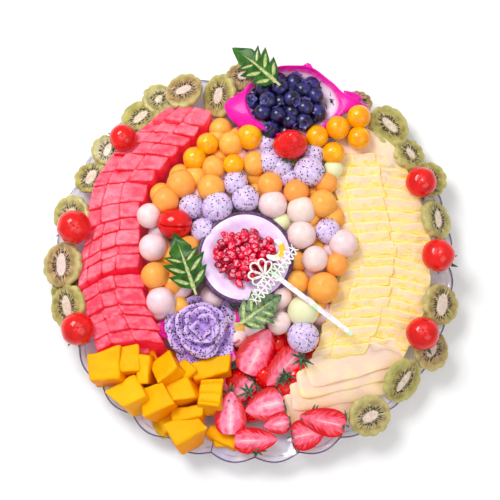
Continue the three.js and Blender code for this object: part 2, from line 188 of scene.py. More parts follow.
def wet(name, glow, gloss, depth=3.0, coat=0.0, spread=(1.0, 0.6, 0.4)):
    """A moist finish: light enters it to some depth, and the surface shines."""
    return Finish(name, {
        "Subsurface Weight": glow, "Subsurface Radius": spread, "Subsurface Scale": depth * MM,
        "Roughness": gloss, "Coat Weight": coat, "Coat Roughness": 0.1, "IOR": 1.4, "Specular IOR Level": 0.28,
    })


def glass_finish():
    finish = Finish("clear glass", {"Roughness": 0.05, "IOR": 1.5, "Coat Weight": 1.0, "Coat Roughness": 0.03})
    edge, rib, _ = finish.local()
    # Painted shade: dark lines along the rim, on a ring inside it and along the ribs stand in for the dark edges that
    # refraction gives the glass; the glass is also more opaque there.
    rim = 1 - abs(edge - 0.9).fade(0.3, 1.1)
    inner = (1 - abs(edge - 6.5).fade(0.1, 0.9)) * finish.noise(9).fade(0.35, 0.6)
    painted_rib_shade = (1 - rib.fade(0.3, 1.0)) * (1 - edge.fade(9, 17)) * 0.9
    lines = rim.math("MAXIMUM", rim, painted_rib_shade)
    lines = lines.math("MAXIMUM", lines, inner * 0.7)
    haze = finish.clouded("f3effc", "cec4ea", 22, 0.42, 0.72)
    finish.paint(finish.mix(haze, "45305f", lines))
    finish.wear("Alpha", lines * 0.5 + 0.42)
    return finish


def coconut_flesh_finish():
    finish = wet("coconut flesh", 0.5, 0.38, 4.0)
    cloud = finish.noise(9).fade(0.3, 0.7)
    finish.paint(finish.mix("edd2fb", "f7e6ff", cloud))
    # Painted glow: a faint lavender emission over the whole flesh.
    finish.glow("9c88ff", 1.0, 0.1)
    finish.relief(finish.noise(2.2), 0.12)
    return finish


def coconut_shell_finish():
    finish = Finish("coconut shell", {"Roughness": 0.5, "Coat Weight": 0.25, "Coat Roughness": 0.3})
    grain = finish.noise(2.5, stretch=(1, 1, 6)).fade(0.3, 0.7)
    finish.paint(finish.mix("351638", "6e3f74", grain))
    finish.relief(grain, 0.35)
    return finish


def aril_finish():
    finish = wet("pomegranate arils", 0.25, 0.14, 2.0, 0.35, (1.0, 0.05, 0.15))
    red = finish.mix("a00028", "f4003e", finish.own("tint"))
    # Painted highlight: pale pink patches where the kernels face up.
    painted_top_highlight = finish.upward().fade(0.88, 0.99) * finish.noise(3.0).fade(0.47, 0.56)
    finish.paint(finish.mix(red, "ffb4ca", painted_top_highlight * 0.6))
    finish.relief(finish.noise(2.4), 0.25)
    return finish


def dragon_skin_finish():
    finish = wet("dragon fruit skin", 0.25, 0.4, 2.0, 0.2, (1.0, 0.2, 0.5))
    cloud = finish.noise(8).fade(0.3, 0.75)
    tip = finish.own("tint").fade(0.75, 1.0)
    pink = finish.mix("e2009e", "f418b0", cloud)
    finish.paint(finish.mix(pink, "a9a04a", tip * 0.75))
    finish.relief(finish.noise(1.2, stretch=(1, 1, 3)), 0.2)
    return finish


def dragon_flesh_finish(name, deep, pale, edge, share):
    """tint leads to the edge colour, up to a share of it."""
    finish = wet(name, 0.5, 0.36, 4.0, 0.15)
    cloud = finish.noise(3.5).fade(0.3, 0.7)
    base = finish.mix(deep, pale, cloud)
    finish.paint(finish.mix(base, edge, finish.own("tint").fade(0.3, 1.0) * share))
    finish.relief(finish.noise(0.9), 0.14)
    return finish


def seed_finish(name, dark, light):
    finish = Finish(name, {"Roughness": 0.25, "Coat Weight": 0.5, "Coat Roughness": 0.1})
    finish.paint(finish.mix(dark, light, finish.noise(1.4).fade(0.4, 0.7)))
    return finish


def blueberry_finish():
    finish = Finish("blueberry skin", {"Coat Weight": 0.45, "Coat Roughness": 0.12, "Specular IOR Level": 0.35})
    bloom = finish.noise(5.0).fade(0.36, 0.64)
    crown = finish.own("tint").fade(0.4, 0.9)
    # The bloom's paler blotches are the berry's own dusty coat, but they show only where the skin faces up, so the tops
    # are lighter as painted light.
    skin = finish.mix("0b0722", "2d2776", bloom * finish.upward())
    finish.paint(finish.mix(skin, "6a60a8", crown * 0.5))
    finish.wear("Roughness", bloom * 0.25 + 0.2)
    finish.relief(finish.noise(0.8), 0.06)
    return finish


def leaf_finish():
    finish = wet("carved leaf", 0.2, 0.4, 1.0, 0.15, (0.4, 1.0, 0.2))
    across, along, cut = finish.local()
    blade = finish.clouded("123a06", "346c12", 7, 0.3, 0.7)
    veins = abs(along.math("SINE", (along - abs(across) * 0.9) * 1.9))
    blade = finish.mix(blade, "4c9432", veins.fade(0.93, 1.0) * 0.35)
    blade = finish.mix(blade, "93a884", finish.own("tint") * finish.noise(5).fade(0.3, 0.6))
    pale = finish.clouded("9cae5c", "d8dca4", 2, 0.3, 0.7)
    finish.paint(finish.mix(blade, pale, cut))
    finish.relief(finish.noise(1.1), 0.15)
    return finish


def acrylic_finish():
    finish = Finish("pearl acrylic", {"Roughness": 0.12, "Coat Weight": 1.0, "Coat Roughness": 0.02})
    sheen = finish.noise(8, detail=1)
    pearl = finish.mix("fffdfb", "d8f0cf", sheen.fade(0.52, 0.64))
    pearl = finish.mix(pearl, "f3dcec", 1 - sheen.fade(0.36, 0.45))
    finish.paint(finish.mix(pearl, "fcc81c", finish.own("tint").fade(0.3, 0.6)))
    return finish


def tomato_finish():
    """local is the place on a ball of radius 1, and tint marks the scar and the slit."""
    finish = wet("tomato skin", 0.1, 0.14, 2.5, 0.5, (1.0, 0.1, 0.05))
    across, deep, up = finish.local()
    out = (across * across + deep * deep) ** 0.5
    way = finish.vector("NORMALIZE", finish.node("ShaderNodeCombineXYZ", {}, [across, deep, 0.0]))
    ray = finish.noise(0.5, way, 1.0).fade(0.3, 0.7)
    red = finish.clouded("cf0406", "ec1410", 11, 0.3, 0.7)
    # Painted highlight: pale pink streaks round the scar on top of the berry.
    shine = ray * (1 - out.fade(0.08, 0.42)) * out.fade(0.04, 0.12) * up.fade(0.2, 0.6)
    red = finish.mix(red, "ff9a96", shine * 0.5)
    finish.paint(finish.mix(red, "a40c08", finish.own("tint").fade(0.6, 0.95)))
    finish.relief(finish.noise(3.5, detail=1), 0.12)
    return finish


def calyx_finish():
    finish = wet("calyx", 0.1, 0.6, 1.0, 0.0, (0.4, 1.0, 0.2))
    cloud = finish.noise(2.6).fade(0.35, 0.7)
    green = finish.mix("264230", "5d7558", cloud)
    finish.paint(finish.mix(green, "8fa383", finish.own("tint").fade(0.6, 1.0) * 0.6))
    finish.relief(finish.noise(0.8), 0.15)
    return finish


def strawberry_skin_finish():
    finish = wet("strawberry skin", 0.15, 0.18, 2.5, 0.55, (1.0, 0.1, 0.05))
    cloud = finish.noise(7).fade(0.3, 0.7)
    red = finish.mix("da000a", "fc0a10", cloud)
    finish.paint(finish.mix(red, "ff8f86", finish.own("tint").fade(0.85, 1.0) * 0.7))
    finish.relief(finish.noise(1.6), 0.12)
    return finish


def strawberry_flesh_finish():
    """The cut face: local holds the share of the half width, the share of the length from the stalk, and ripeness."""
    finish = wet("strawberry flesh", 0.3, 0.28, 2.0, 0.25, (1.0, 0.25, 0.3))
    across, along, ripe = finish.local()
    side = abs(across)
    fan = finish.node("ShaderNodeCombineXYZ", {}, [side * 1.6, along * 20 + side * 6, across * 0.6])
    streak = finish.noise(1.0, fan, 2.0).fade(0.42, 0.66)
    cloud = finish.noise(5).fade(0.3, 0.65)
    inner = finish.mix("f64c7a", "ff98b8", cloud * 0.7 + streak * 0.2)
    heart = (1 - side.fade(0.04, 0.34)) * (1 - along.fade(0.6, 0.9))
    inner = finish.mix(inner, "ffc6d2", heart * (cloud * 0.6 + 0.3))
    inner = finish.mix(inner, "ee304e", ripe * 0.75 * (1 - streak * 0.4))
    line = (1 - side.fade(0.0, 0.08)) * (1 - along.fade(0.35, 0.8)) * along.fade(0.02, 0.2)
    inner = finish.mix(inner, "ffe6e4", line * 0.6)
    rim = finish.mix("d40014", "ee1630", streak)
    flesh = finish.mix(inner, rim, (side + along * 0.16 + ripe * 0.2).fade(0.6, 0.84))
    flesh = finish.mix(flesh, "ff9aaa", streak * side.fade(0.3, 0.55) * (1 - side.fade(0.7, 0.9)) * 0.3)
    flesh = finish.mix(flesh, "c80012", side.fade(0.84, 0.95))
    finish.paint(flesh)
    # Painted glow: the cut face also gives off a little light in its own colour.
    finish.glow(flesh, 1.0, 0.1)
    finish.relief(streak, 0.08)
    return finish


def kiwi_finish():
    """local is measured from the middle along the core, with the slice's hue third; tint is the way out of the core."""
    finish = wet("kiwi flesh", 0.4, 0.28, 3.0, 0.3, (0.7, 1.0, 0.3))
    spot = finish.own("local", "Vector")
    hue = finish.parts(spot)[2]
    away = finish.own("tint")
    way = finish.vector("NORMALIZE", finish.vector("MULTIPLY", spot, (1, 1, 0)))
    ray = finish.noise(0.11, way, 1.0)
    fine = finish.noise(0.05, way, 1.0)
    core = finish.clouded("d9bfa9", "f0e0cb", 3, 0.3, 0.7)
    core = finish.mix(core, "e6cdd0", hue * 0.6)
    green = finish.clouded("8a7c32", "b8ab58", 6, 0.35, 0.65)
    rosy = finish.clouded("8e6438", "ba9266", 6, 0.35, 0.65)
    flesh = finish.mix(green, rosy, hue)
    flesh = finish.mix(flesh, "d4ce8a", away.fade(7.0, 13.0) * 0.55)
    flesh = finish.mix(flesh, "d8cea0", fine.fade(0.48, 0.62) * (1 - away.fade(5.0, 10.0)) * 0.4)
    band = away.fade(-0.6, 0.6) * (1 - away.fade(4.0, 7.5))
    flesh = finish.mix(flesh, "3c2a26", band * ray.fade(0.5, 0.58) * 0.75)
    flesh = finish.mix(flesh, "dcccb8", band * (1 - ray.fade(0.38, 0.46)) * 0.4)
    flesh = finish.mix(flesh, "7d8428", finish.noise(14).fade(0.52, 0.7) * 0.5 * (1 - hue))
    starry = away + ray * 2.2 - 1.1
    finish.paint(finish.mix(core, flesh, starry.fade(-0.9, 0.3)))
    finish.relief(fine + ray * 0.6, 0.25)
    return finish


def mango_finish():
    finish = wet("mango flesh", 0.35, 0.44, 4.0, 0.0, (1.0, 0.6, 0.05))
    finish.wear("Specular IOR Level", 0.14)
    cloud = finish.noise(14).fade(0.3, 0.75)
    fibre = finish.noise(0.7, stretch=(1, 1, 7))
    # Painted light: faces turned up are a lighter yellow than the sides.
    gold = finish.mix("f08a00", "ffba00", finish.upward())
    gold = finish.mix(gold, "f89c00", cloud * 0.35)
    finish.paint(finish.mix(gold, "ffc81a", finish.own("tint").fade(0.5, 1.0) * 0.5))
    finish.relief(fibre + finish.noise(5), 0.3)
    return finish


def golden_finish():
    finish = wet("golden berry skin", 0.3, 0.18, 4.0, 0.5, (1.0, 0.5, 0.05))
    scar = finish.own("tint").fade(0.55, 0.95)
    skin = finish.clouded("fc9a00", "ffbc00", 9, 0.3, 0.7)
    finish.paint(finish.mix(skin, "ffe09a", scar * 0.8))
    finish.relief(finish.noise(4.0, detail=1), 0.1)
    return finish


def melon_ball_finish(name, deep, pale, other):
    finish = wet(name, 0.5, 0.36, 4.0, 0.15, (1.0, 0.7, 0.5))
    cloud = finish.noise(6).fade(0.3, 0.7)
    # Paler in blotches of the flesh's own tone, and, as painted light, on the tops that face up.
    base = finish.mix(deep, pale, cloud * 0.6 + finish.upward() * 0.4)
    finish.paint(finish.mix(base, other, finish.own("tint")))
    finish.relief(finish.noise(1.6, stretch=(1, 1, 2)), 0.16)
    return finish


def watermelon_finish():
    """local: distance from the nearest upright side of the block, and share of the way to its front."""
    finish = wet("watermelon flesh", 0.5, 0.42, 5.0, 0.06, (1.0, 0.25, 0.3))
    edge, front, _ = finish.local()
    front = front.fade(0.6, 0.85)
    # Painted light: tops are a lighter pink and upright sides a deeper red, as lit and shaded copies of the same flesh.
    lit = finish.upward(0.5, 0.98) * front + finish.upward(0.15, 0.8) * (1 - front)
    own = finish.own("tint")
    fibre = finish.noise(7.0, stretch=(1.6, 1, 1)).fade(0.36, 0.64)
    grit = finish.noise(1.4).fade(0.45, 0.75)
    top = finish.mix("ee3e5c", "fe8298", fibre * 0.65 + own * 0.35)
    top = finish.mix(top, "ffa6b2", grit * own * 0.5)
    # Painted highlight: paler pink near the edges of each top.
    top = finish.mix(top, "ffb0ba", (1 - edge.fade(1.5, 6.0)) * finish.noise(4).fade(0.4, 0.65) * 0.28)
    side = finish.mix("e01028", "ee2c48", fibre)
    finish.paint(finish.mix(side, top, lit))
    # Painted glow: emission near the sides of each block, lightening the shade in the gaps.
    finish.glow("dc2848", 1 - edge.fade(0.0, 2.6), 0.2)
    finish.relief(finish.noise(1.3) + grit * 0.5, 0.3)
    return finish


def pineapple_finish():
    """local: distance from the nearest upright side, share of the way to the front, and 1 on a smooth slice."""
    finish = wet("pineapple flesh", 0.45, 0.42, 4.0, 0.08, (1.0, 0.85, 0.4))
    edge, front, plain = finish.local()
    lit = finish.upward(0.5, 0.97)
    fibre = finish.noise(1.1, stretch=(7, 1, 1)).fade(0.4, 0.65)
    cloud = finish.noise(16).fade(0.35, 0.65)
    patch = finish.noise(7).fade(0.45, 0.7)
    top = finish.mix("fcdcb0", "fcdece", cloud * 0.7 + fibre * 0.3)
    # Painted shade: a yellow band towards each block's front, where the next row overlaps it.
    top = finish.mix(top, "fae27c", (front + finish.noise(5) * 0.8).fade(0.7, 1.35) * 0.75)
    # Painted shade: yellow in the creases near each block's upright sides.
    top = finish.mix(top, "fae284", (1 - edge.fade(0.6, 5.2)) * (patch * 0.7 + 0.2))
    # Yellow patches in the flesh's own uneven tone, gathered towards the front as painted shade.
    top = finish.mix(top, "f4d83c", finish.noise(8).fade(0.54, 0.66) * front.fade(0.1, 0.65) * 0.75)
    # Painted light: tops and smooth slices take the pale peach colours and upright sides a deeper yellow, as lit and
    # shaded copies of the same flesh.
    side = finish.mix("f6d970", "fbe8a4", fibre)
    flesh = finish.mix(side, top, lit)
    smooth = finish.mix("fde0bc", "f9d4c2", cloud * 0.8 + fibre * 0.2)
    # Painted shade: yellow near the edges of a smooth slice.
    smooth = finish.mix(smooth, "fbe48e", (1 - edge.fade(0.5, 5.0)) * finish.noise(18).fade(0.4, 0.6) * 0.5)
    flesh = finish.mix(flesh, smooth, plain * (lit * 0.3 + 0.7))
    fleck = (1 - finish.cells(9.5).fade(0.03, 0.07)) * finish.noise(13).fade(0.55, 0.6)
    finish.paint(finish.mix(flesh, "8c7a3a", fleck))
    # Painted glow: emission near the sides and edges, lightening the shade between blocks and slices.
    finish.glow(finish.mix("ccb468", "f0c8a0", plain), 1 - edge.fade(0.0, 2.8), 0.28)
    finish.relief((fibre + patch) * (1 - plain * 0.7), 0.25)
    return finish


def floor_finish():
    finish = Finish("pale floor", {"Roughness": 0.8})
    finish.paint(finish.mix("fafafb", "ffffff", finish.noise(300)))
    return finish


# ---- forms: corners in millimetres, faces, and what each corner and face carries ----
Form = namedtuple("Form", "corners faces kinds local tint")


def form_of(corners, faces):
    """A form of one material that carries its corners' own places."""
    corners = np.asarray(corners, float)
    return Form(corners, faces, np.zeros(len(faces), int), corners, np.zeros(len(corners)))


def turns(count):
    return np.arange(count) * FULL_TURN / count


def ring(angle, reach, height, wide=None):
    """A loop round the Z axis at a height, by its radius, or by its half sizes along X and Y."""
    wide = reach if wide is None else wide
    return np.stack([reach * np.cos(angle), wide * np.sin(angle), np.broadcast_to(height, len(angle))], 1)


def skinned(loops, local=None, kinds=0, tint=0.0):
    """A closed skin over a stack of loops with equal counts, anticlockwise as the stack rises.

    A tint may be one number, one in a list for each loop, or one for each corner.
    """
    loops = np.asarray(loops, float)
    stack, count = loops.shape[:2]
    here = np.arange(count)
    after = np.roll(here, -1)
    low = np.arange(stack - 1)[:, None] * count
    quads = np.stack([low + here, low + after, low + count + after, low + count + here], -1).reshape(-1, 4)
    first, top = stack * count, (stack - 1) * count
    start = np.stack([np.full(count, first), after, here], 1)
    end = np.stack([np.full(count, first + 1), top + here, top + after], 1)
    kinds = np.broadcast_to(kinds, (stack - 1, count))
    kinds = np.concatenate([kinds.ravel(), kinds[0], kinds[-1]])

    def ended(values):
        rest = values.reshape(stack, count, -1)
        return np.vstack([values.reshape(first, -1), rest[0].mean(0), rest[-1].mean(0)])

    corners = ended(loops)
    local = corners if local is None else ended(np.asarray(local, float))
    tint = ended(np.broadcast_to(tint, (stack, count)).astype(float))[:, 0]
    return Form(corners, quads.tolist() + start.tolist() + end.tolist(), kinds, local, tint)


def slab(points, thick, local=None, tint=0.0):
    """A sheet with a thickness about a net of points, rounded off towards its two long edges and its ends."""
    points = np.asarray(points, float)
    rows, count = points.shape[:2]
    across = np.gradient(points, axis=1)
    along = np.gradient(points, axis=0)
    normal = np.cross(across, along)
    normal /= np.maximum(np.linalg.norm(normal, axis=2, keepdims=True), 1e-9)
    u = np.abs(np.linspace(-1, 1, count))
    v = np.abs(np.linspace(-1, 1, rows))
    half = thick / 2 * np.sqrt(1.02 - np.maximum.outer(v ** 8, u ** 4))
    half = half[:, :, None] * normal
    loops = np.concatenate([points + half, (points - half)[:, ::-1]], 1)

    def doubled(values):
        values = np.broadcast_to(values, points.shape[:2] + np.shape(values)[2:])
        return np.concatenate([values, values[:, ::-1]], 1)

    local = None if local is None else doubled(np.asarray(local, float))
    return skinned(loops, local, 0, doubled(np.asarray(tint, float)))


def globe(level):
    """A round ball of radius 1 made of even triangles."""
    net = bmesh.new()
    bmesh.ops.create_icosphere(net, subdivisions=level, radius=1.0)
    corners = np.array([corner.co[:] for corner in net.verts])
    faces = [[corner.index for corner in face.verts] for face in net.faces]
    net.free()
    return form_of(corners, faces)


GLOBES = {level: globe(level) for level in (1, 3, 4)}


def grid_lines(size, round_off, step):
    """Coordinates across one side of a block, close together where its edges are rounded."""
    inner = size / 2 - round_off
    flat = np.linspace(-inner, inner, max(2, int(round(2 * inner / step)) + 1))
    bends = [inner + round_off * share for share in (0.4, 0.75, 1.0)]
    return np.concatenate([[-bend for bend in reversed(bends)], flat, bends])


def rounded_block(size, round_off, step):
    """A block centred on the origin with rounded edges and an even net on each side."""
    round_off = min(round_off, 0.45 * min(size))
    lines = [grid_lines(side, round_off, gap) for side, gap in zip(size, np.broadcast_to(step, 3))]
    spots, faces, count = [], [], 0
    for axis in range(3):
        a, b = (axis + 1) % 3, (axis + 2) % 3
        m, n = len(lines[a]), len(lines[b])
        i, j = np.meshgrid(np.arange(m - 1), np.arange(n - 1), indexing="ij")
        for end in (0, -1):
            net = np.zeros((m, n, 3))
            net[:, :, axis] = lines[axis][end]
            net[:, :, a] = lines[a][:, None]
            net[:, :, b] = lines[b][None, :]
            corner = (i * n + j).ravel() + count
            quad = np.stack([corner, corner + n, corner + n + 1, corner + 1], 1)
            faces.append(quad if end else quad[:, ::-1])
            spots.append(net.reshape(-1, 3))
            count += m * n
    rounded = np.round(np.vstack(spots), 4)
    _, kept, index = np.unique(rounded, axis=0, return_index=True, return_inverse=True)
    spots = np.vstack(spots)[kept]
    core = np.clip(spots, *[sign * (np.array(size) / 2 - round_off) for sign in (-1, 1)])
    out = spots - core
    corners = core + out * round_off / np.linalg.norm(out, axis=1, keepdims=True)
    return form_of(corners, index.ravel()[np.vstack(faces)].tolist())


def wobble(points, size, seed):
    """Smooth uneven numbers between about -1 and 1, with bumps of a size."""
    draw = np.random.default_rng(seed)
    ways = draw.normal(size=(7, 3))
    ways *= (math.pi / size) * draw.uniform(0.6, 1.3, (7, 1)) / np.linalg.norm(ways, axis=1, keepdims=True)
    return np.sin(points @ ways.T + draw.uniform(0, FULL_TURN, 7)).sum(1) / 3


def shaken(form, amount, size, seed):
    """A form whose corners are pushed about unevenly."""
    push = np.stack([wobble(form.corners, size, seed + axis) for axis in range(3)], 1)
    return form._replace(corners=form.corners + amount * push)


def scaled(form, *sizes):
    return form._replace(corners=form.corners * np.array(sizes, float))


def shift(spot):
    return Matrix.Translation(spot)


def turned(angle, axis="Z"):
    return Matrix.Rotation(angle, 4, axis)


def place(x, y, z, turn=0.0, lean=0.0, toward=0.0):
    """Turned about its own upright, then leaned by some degrees toward a compass direction."""
    way = math.radians(toward)
    axis = Vector((-math.sin(way), math.cos(way), 0))
    tip = turned(math.radians(lean), axis)
    return shift((x, y, z)) @ tip @ turned(math.radians(turn))


def aimed(spot, way, spin=0.0):
    """A place at a spot, with local +Z pointing along a way."""
    turn = Vector(way).to_track_quat("Z", "Y").to_matrix().to_4x4()
    return shift(spot) @ turn @ turned(spin)


def moved(points, at):
    at = np.array(at)
    return points @ at[:3, :3].T + at[:3, 3]


def plate_top(x, y):
    """Height of the plate's upper face at a place; past the rim it falls away."""
    return np.interp(np.hypot(x, y), [127, 150, 178, 192, 198, 208], [5.1, 11.2, 19, 23.4, 22, 0]) + 0.2


class Batch:
    """Forms gathered into one piece."""

    def __init__(self):
        self.forms = []

    def add(self, form, at=None, tint=None):
        if at is not None:
            form = form._replace(corners=moved(form.corners, at))
        if tint is not None:
            form = form._replace(tint=np.full(len(form.corners), float(tint)))
        self.forms.append(form)

    def piece(self, name, finishes, slot, nodes=(), rests=True):
        """Makes the mesh object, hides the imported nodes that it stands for, and lets it ride on the platter.

        What rests on the plate is pressed flat where it touches it.
        """
        corners = np.vstack([form.corners for form in self.forms])
        if rests:
            corners[:, 2] = np.maximum(corners[:, 2], plate_top(corners[:, 0], corners[:, 1]))
        starts = np.cumsum([0] + [len(form.corners) for form in self.forms])
        faces = [[c + start for c in face] for form, start in zip(self.forms, starts) for face in form.faces]
        mesh = bpy.data.meshes.new(name)
        mesh.from_pydata(corners * MM, [], faces)
        for attribute, kind in (("local", "FLOAT_VECTOR"), ("tint", "FLOAT")):
            values = np.concatenate([getattr(form, attribute) for form in self.forms]).astype(np.float32)
            layer = mesh.attributes.new(attribute, kind, "POINT")
            layer.data.foreach_set("vector" if kind == "FLOAT_VECTOR" else "value", values.ravel())
        for finish in finishes:
            mesh.materials.append(finish.material)
        kinds = np.concatenate([form.kinds for form in self.forms]).astype(np.int32)
        mesh.polygons.foreach_set("material_index", kinds)
        mesh.polygons.foreach_set("use_smooth", np.ones(len(faces), bool))
        mesh.set_sharp_from_angle(angle=CREASE)
        mesh.update()
        piece = bpy.data.objects.new(name, mesh)
        bpy.context.scene.collection.objects.link(piece)
        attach(piece, "root")
        if nodes:
            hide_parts(*nodes)


def middle(node):
    """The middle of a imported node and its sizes, in millimetres."""
    low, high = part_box(node)
    return np.array((low + high) / 2) / MM, np.array(high - low) / MM


def between(low, high, share):
    return low + (high - low) * share


def varied(number):
    """An uneven share between 0 and 1 that differs from one number to the next."""
    return number * 0.37 % 1


def pip(long, wide, thick):
    """A small seed lying along X."""
    return scaled(GLOBES[1], long / 2, wide / 2, thick / 2)


# ---- glass plate ----
SCALLOPS = 28
PLATE_PROFILE = [  # radius at a notch of the rim, height
    (30, 0), (70, 0), (105, 0), (112, 0), (118, 1.2), (132, 4.4), (150, 8.4), (165, 11.8), (178, 14.7), (186, 16.5),
    (190, 17.5), (192, 18.4), (193, 19.8), (193.4, 21.4), (193, 22.8), (192, 23.4), (190, 22.6), (188, 21.8),
    (186, 21.2), (182, 20.1), (178, 19), (174, 17.9), (168, 16.2), (160, 14), (150, 11.2), (140, 8.4), (132, 6.2),
    (127, 5.1), (110, 5), (70, 5), (30, 5),
]
PLATE_FLOOR, PLATE_NOTCH, PLATE_SWELL = 128, 193, 6


def plate():
    angle = turns(SCALLOPS * 16)
    bulge = np.abs(np.sin(angle * SCALLOPS / 2))
    pitch = FULL_TURN / SCALLOPS
    off = np.abs((angle + pitch / 2) % pitch - pitch / 2)
    rim = PLATE_NOTCH + PLATE_SWELL * bulge
    loops, local = [], []
    for base, height in PLATE_PROFILE:
        reach = max(0, (base - PLATE_FLOOR) / (PLATE_NOTCH - PLATE_FLOOR))
        radius = base * (1 + PLATE_SWELL / PLATE_NOTCH * bulge * reach ** 2)
        ridge = 0.7 * np.exp(-(off * radius / 1.2) ** 2) * (reach > 0.75) * (height > 18.5)
        loops.append(ring(angle, radius, height + ridge))
        local.append(np.stack([rim - radius, off * radius, np.zeros_like(angle)], 1))
    batch = Batch()
    batch.add(skinned(loops, local))
    batch.piece("plate_glass", [glass_finish()], "glass", ["plate"], rests=False)


# ---- coconut half and its pomegranate arils ----
COCONUT = place(-9, 0, 52, 0, 4, 40)
COCONUT_RADIUS = 47


def coconut():
    angle = turns(112)
    outside = [(COCONUT_RADIUS * math.sin(t), -COCONUT_RADIUS * math.cos(t))
               for t in np.linspace(0.12, math.pi / 2, 14)]
    shell = outside + [(46.9, 0.7), (46.4, 1.3), (45.6, 1.7), (44.4, 1.8), (43.4, 1.7)]
    flesh = [(43.1, 1.5), (42.4, 1.7), (41, 1.8), (38.5, 1.7), (37, 1.2), (35, 0.2), (33, -1.0), (31.5, -1.7)]
    inside = [(radius, -2 - 2.2 * (1 - (radius / 32) ** 2)) for radius in (30, 26, 21, 15, 8, 2)]
    loops = []
    for radius, height in shell + flesh + inside:
        even = 0.5 * np.sin(2 * angle + 1) + 0.25 * np.sin(5 * angle)
        loops.append(ring(angle, radius + even * radius / COCONUT_RADIUS, height))
    kinds = np.repeat([0, 1], [len(shell), len(flesh) + len(inside) - 1])[:, None]
    batch = Batch()
    batch.add(skinned(loops, None, kinds), COCONUT)
    batch.piece("coconut_half_cut", [coconut_shell_finish(), coconut_flesh_finish()], "coconut", ["coconut_half"])


def aril(draw):
    """An aril: a plump kernel with soft corners, pointed towards one end."""
    form = GLOBES[3]
    x, y, z = form.corners.T
    narrow = 1 - 0.3 * np.clip(-x, 0, 1)
    wedge = np.stack([x * 6.1, y * 4.0 * narrow, z * 3.7 * narrow], 1)
    wedge = np.sign(wedge) * np.abs(wedge) ** 0.95
    return shaken(form._replace(corners=wedge), 0.4, 5, int(draw.integers(1e6)))


def arils():
    draw = np.random.default_rng(11)
    batch = Batch()
    batch.add(scaled(GLOBES[4], 28, 24, 7), COCONUT @ shift((0, 1, -1)), 0.1)
    for layer, (count, spread, lift) in enumerate([(54, 31.0, 0.8), (46, 27, 4.2)]):
        for k in range(count):
            out = spread * math.sqrt((k + 0.5) / count) + draw.normal(0, 1.2)
            way = k * GOLDEN_ANGLE + layer + draw.normal(0, 0.1)
            out *= 1 + 0.05 * math.sin(3 * way + 1)
            height = lift + 6.5 * (1 - (out / 32) ** 2) + draw.normal(0, 0.9)
            spot = (out * math.cos(way), 1 + out * math.sin(way) * 0.87, height)
            turn = turned(draw.uniform(0, FULL_TURN)) @ turned(draw.normal(0, 0.6), "Y")
            size = draw.uniform(0.85, 1.12)
            at = COCONUT @ shift(spot) @ turn @ Matrix.Scale(size, 4)
            batch.add(aril(draw), at, draw.uniform(0, 1))
    batch.piece("pomegranate_aril_heap", [aril_finish()], "pomegranate", ["pomegranate_arils"])


# ---- dragon fruit half filled with blueberries ----
SHELL = place(38, 157, 50, 0, 4, 40)
SHELL_LONG, SHELL_WIDE, SHELL_DEEP = 49, 38, 32


def scale_leaf(long, wide, curl, seed):
    """A pointed scale of the skin along +X, curling up towards its tip."""
    v = np.linspace(0, 1, 22)[:, None]
    u = np.linspace(-1, 1, 13)[None, :]
    half = wide / 2 * np.sqrt(1 - v ** 1.5 * 0.99) * (1 - 0.25 * v)
    points = np.stack([v * long + 0 * u, u * half, curl * v ** 2 + 1.5 * (u * half / wide * 2) ** 2 + 0 * v], 2)
    points[:, :, 2] += 0.8 * np.sin(3 * v + 2 * u + seed)
    return slab(points, 3.2, None, v + 0 * u)


def bump(angle, at, width, power=2):
    """A smooth bump of height 1 at an angle, with a flatter top for a higher even power."""
    return np.exp(-(((angle - at + math.pi) % FULL_TURN - math.pi) / width) ** power)


